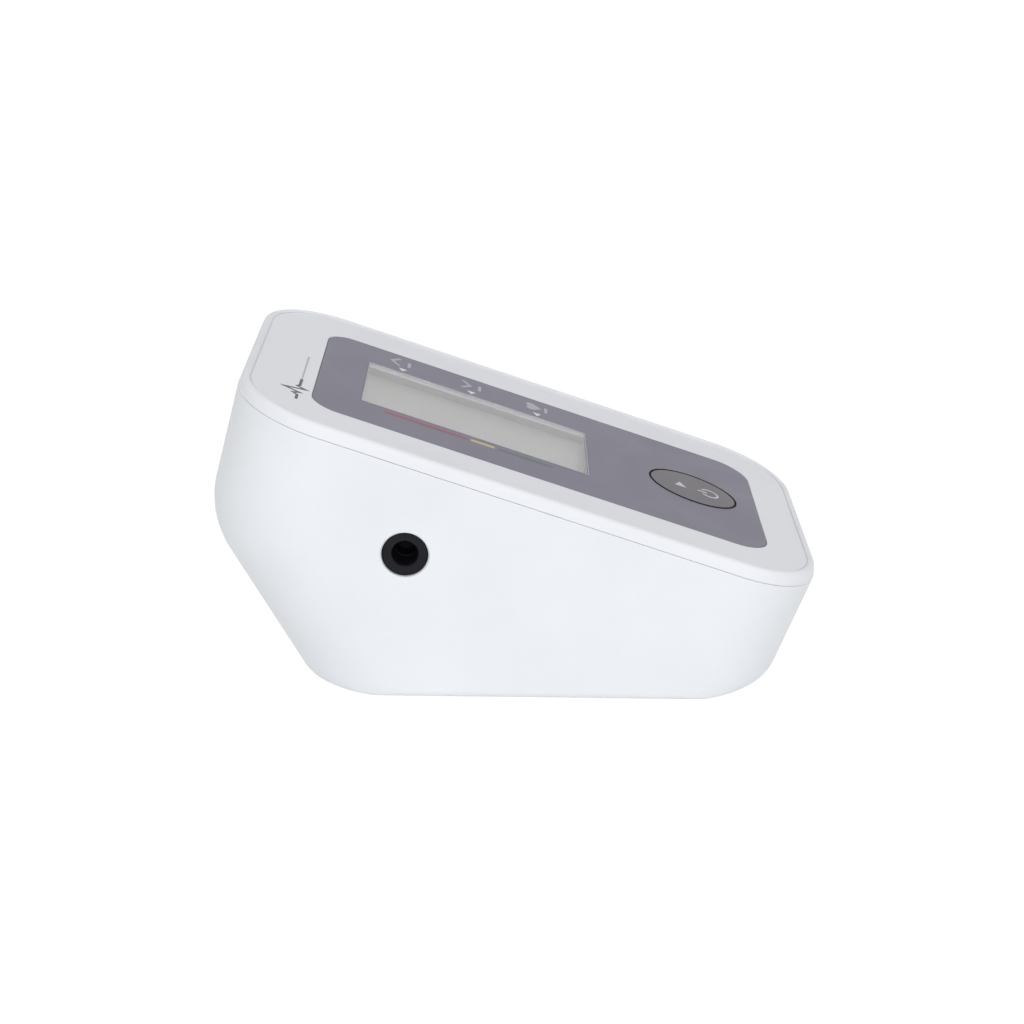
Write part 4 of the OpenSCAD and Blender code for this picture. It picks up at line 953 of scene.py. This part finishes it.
def moulded(name, colour, roughness, grain=0.03, cells=2200.0, drift=0.02, wear=0.12, specular=0.5):
    """A procedural plastic: drifting colour, uneven sheen, fine grain and slightly worn edges."""
    material, tree, sockets = new_material(name)
    effects = effect(tree, grain_group)
    effects.inputs[0].default_value = cells
    worn = effect(tree, wear_group)
    base = np.array(linear(*colour)[:3])
    dark, light = (*(base * (1 - drift)), 1), (*np.minimum(base * (1 + drift), 1), 1)
    tone = blend(tree, varied(tree, effects.outputs["Cloud"], 0.0, 1.0), dark, light)
    pale = (*np.minimum(base * (1 + 3 * wear) + 0.05 * wear, 1), 1)
    share = add(tree, "Math", {0: worn.outputs[0], 1: wear}, operation="MULTIPLY").outputs[0]
    tree.links.new(blend(tree, share, tone, pale), sockets["Base Color"])
    sheen = varied(tree, effects.outputs["Smudge"], roughness - 0.04, roughness + 0.05)
    tree.links.new(sheen, sockets["Roughness"])
    sockets["Specular IOR Level"].default_value = specular
    bumped(tree, sockets, 1.0, grain, effects.outputs["Height"])
    return material


def finish_all(material, *pieces):
    """Gives the material to new pieces, or to CAD nodes by name."""
    for piece in pieces:
        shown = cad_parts[piece] if isinstance(piece, str) else piece
        shown.data.materials.clear()
        shown.data.materials.append(material)


print("moulded plastic ready")

# %% Plastics and rubbers
# each row: name, sRGB colour, roughness, what differs from the usual, and what is made of it
PLASTICS = (
    ("shell_white_plastic", (235, 238, 242), 0.42, {"grain": 0.012}, (base, door)),
    ("cover_white_plastic", (236, 238, 243), 0.42, {"grain": 0.012}, (cover,)),
    ("frame_white_plastic", (226, 228, 228), 0.5, {}, ("display_frame",)),
    ("panel_grey_plastic", (120, 118, 134), 0.42,
     {"grain": 0.008, "cells": 3000.0, "drift": 0.015, "specular": 0.35}, (panel,)),
    ("button_grey_plastic", (108, 103, 110), 0.42,
     {"grain": 0.008, "cells": 3000.0, "specular": 0.35}, (button,)),
    ("socket_black_plastic", (20, 19, 25), 0.45,
     {"grain": 0.01, "wear": 0.2, "specular": 0.18}, (air_socket, jack, "air_manifold")),
    ("inner_black_plastic", (30, 30, 32), 0.5, {"wear": 0.3},
     ("socket_nut", "tact_switch", "processor_chip", "buzzer")),
    ("plunger_grey_plastic", (84, 85, 90), 0.45, {}, ("tact_plunger",)),
    ("pump_black_plastic", (52, 53, 58), 0.5, {"wear": 0.3}, ("pump_head",)),
    ("sensor_cream_plastic", (214, 211, 200), 0.5, {}, ("pressure_sensor",)),
    ("component_grey", (104, 106, 114), 0.45, {}, ("board_parts",)),
    ("black_rubber", (28, 28, 29), 0.75, {"grain": 0.03, "wear": 0.1}, ("pump_sleeve", "pump_diaphragm")),
    # painted shade of the gap round the button
    ("painted_gap_shade", (14, 14, 18), 0.8, {"grain": 0.01, "wear": 0, "specular": 0.1}, (gap_shade_ring,)),
    # the foam's own grey, deepened to paint the shade low in the window's opening
    ("grey_foam", (112, 110, 107), 0.85, {"grain": 0.08, "cells": 1500.0, "wear": 0}, (foam,)),
    # a painted highlight round the window's edge
    ("painted_edge_highlight", (170, 169, 180), 0.5, {"grain": 0.004, "wear": 0}, (edge_highlight_ring,)),
    ("pink_elastomer", (226, 158, 166), 0.6, {"grain": 0.02}, ("contact_strips",)),
    ("red_lead_skin", (150, 36, 38), 0.45, {"grain": 0.01}, ("motor_leads",)),
    ("black_lead_skin", (36, 36, 40), 0.45, {"grain": 0.01}, ("battery_leads",)),
)
for name, colour, roughness, details, pieces in PLASTICS:
    finish_all(moulded(name, colour, roughness, **details), *pieces)
print("plastics:", len(bpy.data.materials))

# %% Inks
INK_COLOURS = (
    (ink_pointers, (232, 231, 236)), (ink_signs, (180, 178, 188)), (ink_power, (204, 202, 210)),
    (rating["ink_red"], (156, 82, 94)), (rating["ink_yellow"], (200, 188, 130)),
    (rating["ink_green"], (99, 112, 112)), (ink_pulse, (92, 92, 98)), (ink_base_line, (186, 187, 192)),
)
for piece, colour in INK_COLOURS:
    finish_all(moulded(piece.name + "_finish", colour, 0.5, grain=0.004, drift=0.05, wear=0), piece)
print("inks:", len(INK_COLOURS))

# %% [markdown]
# ## Metals
#
# Turned and drawn metal shows fine lines round its axis. A wave texture that is stretched along one
# direction gives those lines as a bump, and a cloud of noise lets the sheen come and go.

# %% Metal


def metal(name, colour, roughness, lines=2500.0, depth=0.004, axis="X"):
    """A procedural metal with fine tool lines across one axis and an uneven sheen."""
    material, tree, sockets = new_material(name)
    sockets["Metallic"].default_value = 1.0
    place = add(tree, "TexCoord").outputs["Object"]
    effects = effect(tree, grain_group)
    base = np.array(linear(*colour)[:3])
    spread = varied(tree, effects.outputs["Cloud"], 0.0, 1.0)
    tree.links.new(blend(tree, spread, (*(base * 0.9), 1), (*base, 1)), sockets["Base Color"])
    sheen = varied(tree, effects.outputs["Smudge"], roughness - 0.06, roughness + 0.1)
    tree.links.new(sheen, sockets["Roughness"])
    tooled = add(tree, "TexWave", {"Vector": place, "Scale": lines, "Distortion": 2.0, "Detail": 2.0},
                 bands_direction=axis)
    bumped(tree, sockets, 0.6, depth, tooled.outputs["Fac"])
    return material


finish_all(metal("motor_steel", (196, 198, 202), 0.3), "pump_motor", "pump_rotor")
finish_all(metal("clamp_steel", (186, 188, 190), 0.35, axis="Y"), "pump_clamp", "valve_frame")
finish_all(metal("screw_steel", (176, 178, 182), 0.3), "case_screws", "board_screws")
finish_all(metal("contact_nickel", (214, 210, 200), 0.25),
           "contact_plates", "contact_springs", "valve_plunger", jack_pin)
finish_all(metal("copper_winding", (190, 104, 60), 0.3, lines=900.0, depth=0.05), "valve_coil")
print("materials so far:", len(bpy.data.materials))

# %% [markdown]
# ## Clear and special surfaces
#
# The window is clear acrylic, so its colour and transmission stay plain and only its sheen varies. The
# display under it is a sheet of polariser over pale glass. The silicone tubes let a little light in, the
# battery jackets are banded, and the board shows its copper tracks under green lacquer.

# %% Window, tubes


def clear(name, colour, roughness, spread, transmission, ior):
    """A see-through plastic; spread is how far its sheen varies."""
    material, tree, sockets = new_material(name)
    sockets["Transmission Weight"].default_value = transmission
    sockets["IOR"].default_value = ior
    effects = effect(tree, grain_group)
    base = np.array(linear(*colour)[:3])
    tone = blend(tree, effects.outputs["Cloud"], (*(base * 0.995), 1), (*base, 1))
    tree.links.new(tone, sockets["Base Color"])
    sheen = varied(tree, effects.outputs["Smudge"], roughness, roughness + spread)
    tree.links.new(sheen, sockets["Roughness"])
    return material


finish_all(clear("window_acrylic", (250, 250, 252), 0.01, 0.01, 1.0, 1.49), window)
finish_all(clear("silicone_tube", (232, 232, 226), 0.35, 0.08, 0.35, 1.41),
           "tube_socket", "tube_pump", "tube_valve", "tube_sensor")
print("materials so far:", len(bpy.data.materials))

# %% Display
display, tree, sockets = new_material("display_polariser")
grain = effect(tree, grain_group)
grain.inputs[0].default_value = 5000.0
spread = varied(tree, grain.outputs["Cloud"], 0.0, 1.0)
tone = blend(tree, spread, linear(156, 155, 149), linear(158, 157, 151))
tree.links.new(tone, sockets["Base Color"])
tree.links.new(varied(tree, grain.outputs["Height"], 0.34, 0.36), sockets["Roughness"])
bumped(tree, sockets, 0.3, 0.002, grain.outputs["Height"])
finish_all(display, "display_glass")
print("display finish:", len(tree.nodes), "nodes")

# %% Battery jackets
BARE_END, BAND_FROM, BAND_TO = 0.9, 8, 8.2
jacket, tree, sockets = new_material("cell_jacket")
place = add(tree, "TexCoord").outputs["Object"]
across = add(tree, "SeparateXYZ", {0: place}).outputs[0]
far = add(tree, "Math", {0: across}, operation="ABSOLUTE").outputs[0]
bare = add(tree, "Math", {0: far, 1: (CELL_L / 2 - BARE_END) * MM}, operation="GREATER_THAN").outputs[0]
band = add(tree, "MapRange", {0: across, 1: BAND_FROM * MM, 2: BAND_TO * MM}).outputs[0]
jacket_tone = blend(tree, band, linear(52, 54, 60), linear(196, 146, 62))
tree.links.new(blend(tree, bare, jacket_tone, linear(210, 208, 200)), sockets["Base Color"])
tree.links.new(bare, sockets["Metallic"])
grain = effect(tree, grain_group)
tree.links.new(varied(tree, grain.outputs["Smudge"], 0.22, 0.34), sockets["Roughness"])
bumped(tree, sockets, 0.5, 0.01, grain.outputs["Height"])
finish_all(jacket, *[f"battery_cell_{i}" for i in range(1, CELLS + 1)])
print("jacket finish:", len(tree.nodes), "nodes")

# %% Circuit board
board, tree, sockets = new_material("board_lacquer")
place = add(tree, "TexCoord").outputs["Object"]
tracks = add(tree, "TexBrick", {"Vector": place, "Scale": 260.0, "Mortar Size": 0.12,
                                "Color1": linear(34, 96, 60), "Color2": linear(38, 104, 66),
                                "Mortar": linear(58, 128, 84)})
tree.links.new(tracks.outputs["Color"], sockets["Base Color"])
bumped(tree, sockets, 0.5, 0.03, tracks.outputs["Fac"])
grain = effect(tree, grain_group)
tree.links.new(varied(tree, grain.outputs["Smudge"], 0.2, 0.3), sockets["Roughness"])
finish_all(board, "main_board")
print("materials:", len(bpy.data.materials))

# %% [markdown]
# ## Floor and light
#
# The photograph has a white ground with hardly a shadow. The floor is a pale sheet that shows as white to
# the camera, but sends no extra light up to the monitor. One wide soft lamp stands on the camera's side,
# because the side wall is the lightest surface in the photograph, and a weak one from above fills the
# sloping face. Neither is mirrored in the window, which reflects the plain white room instead.

# %% Floor
FLOOR, FLOOR_T = 6000.0, 5
floor = solid("floor", block([-FLOOR, -FLOOR, -FLOOR_T], [FLOOR, FLOOR, 0]))
paper, tree, sockets = new_material("pale_paper")
sockets["Roughness"].default_value = 0.9
sockets["Specular IOR Level"].default_value = 0.0
seen = seen_directly(tree)
tree.links.new(blend(tree, seen, (0.9, 0.9, 0.9, 1), (0.3, 0.3, 0.3, 1)), sockets["Base Color"])
sockets["Emission Color"].default_value = (1, 1, 1, 1)
lift = add(tree, "Math", {0: seen, 1: 0.88}, operation="MULTIPLY").outputs[0]
tree.links.new(lift, sockets["Emission Strength"])
finish_all(paper, floor)
print("floor", 2 * FLOOR * MM, "m wide")

# %% World and lamps
world = bpy.data.worlds.new("studio")
bpy.context.scene.world = world
world.use_nodes = True
tree = world.node_tree
sky = tree.nodes["Background"]
strength = add(tree, "MapRange", {0: seen_directly(tree), 3: 0.5, 4: 1.0}).outputs[0]
tree.links.new(strength, sky.inputs["Strength"])
sky.inputs["Color"].default_value = (1, 1, 1, 1)
LOOKED_AT = Vector((0, 0, 0.03))  # the middle of the monitor


def soft_lamp(name, place, watts, size):
    """A square area lamp that looks at the monitor."""
    data = bpy.data.lights.new(name, "AREA")
    data.energy, data.size = watts, size
    lamp = bpy.data.objects.new(name, data)
    bpy.context.scene.collection.objects.link(lamp)
    turn = (Vector(place) - LOOKED_AT).to_track_quat("Z", "Y")
    lamp.matrix_world = Matrix.LocRotScale(Vector(place), turn, None)
    lamp.visible_glossy = False
    return lamp


soft_lamp("side_lamp", (-1.0, -0.05, 0.4), 7.5, 1.2)
soft_lamp("top_lamp", (0.1, -0.2, 1.1), 1.0, 0.9)
bpy.context.scene.view_settings.view_transform = "Standard"
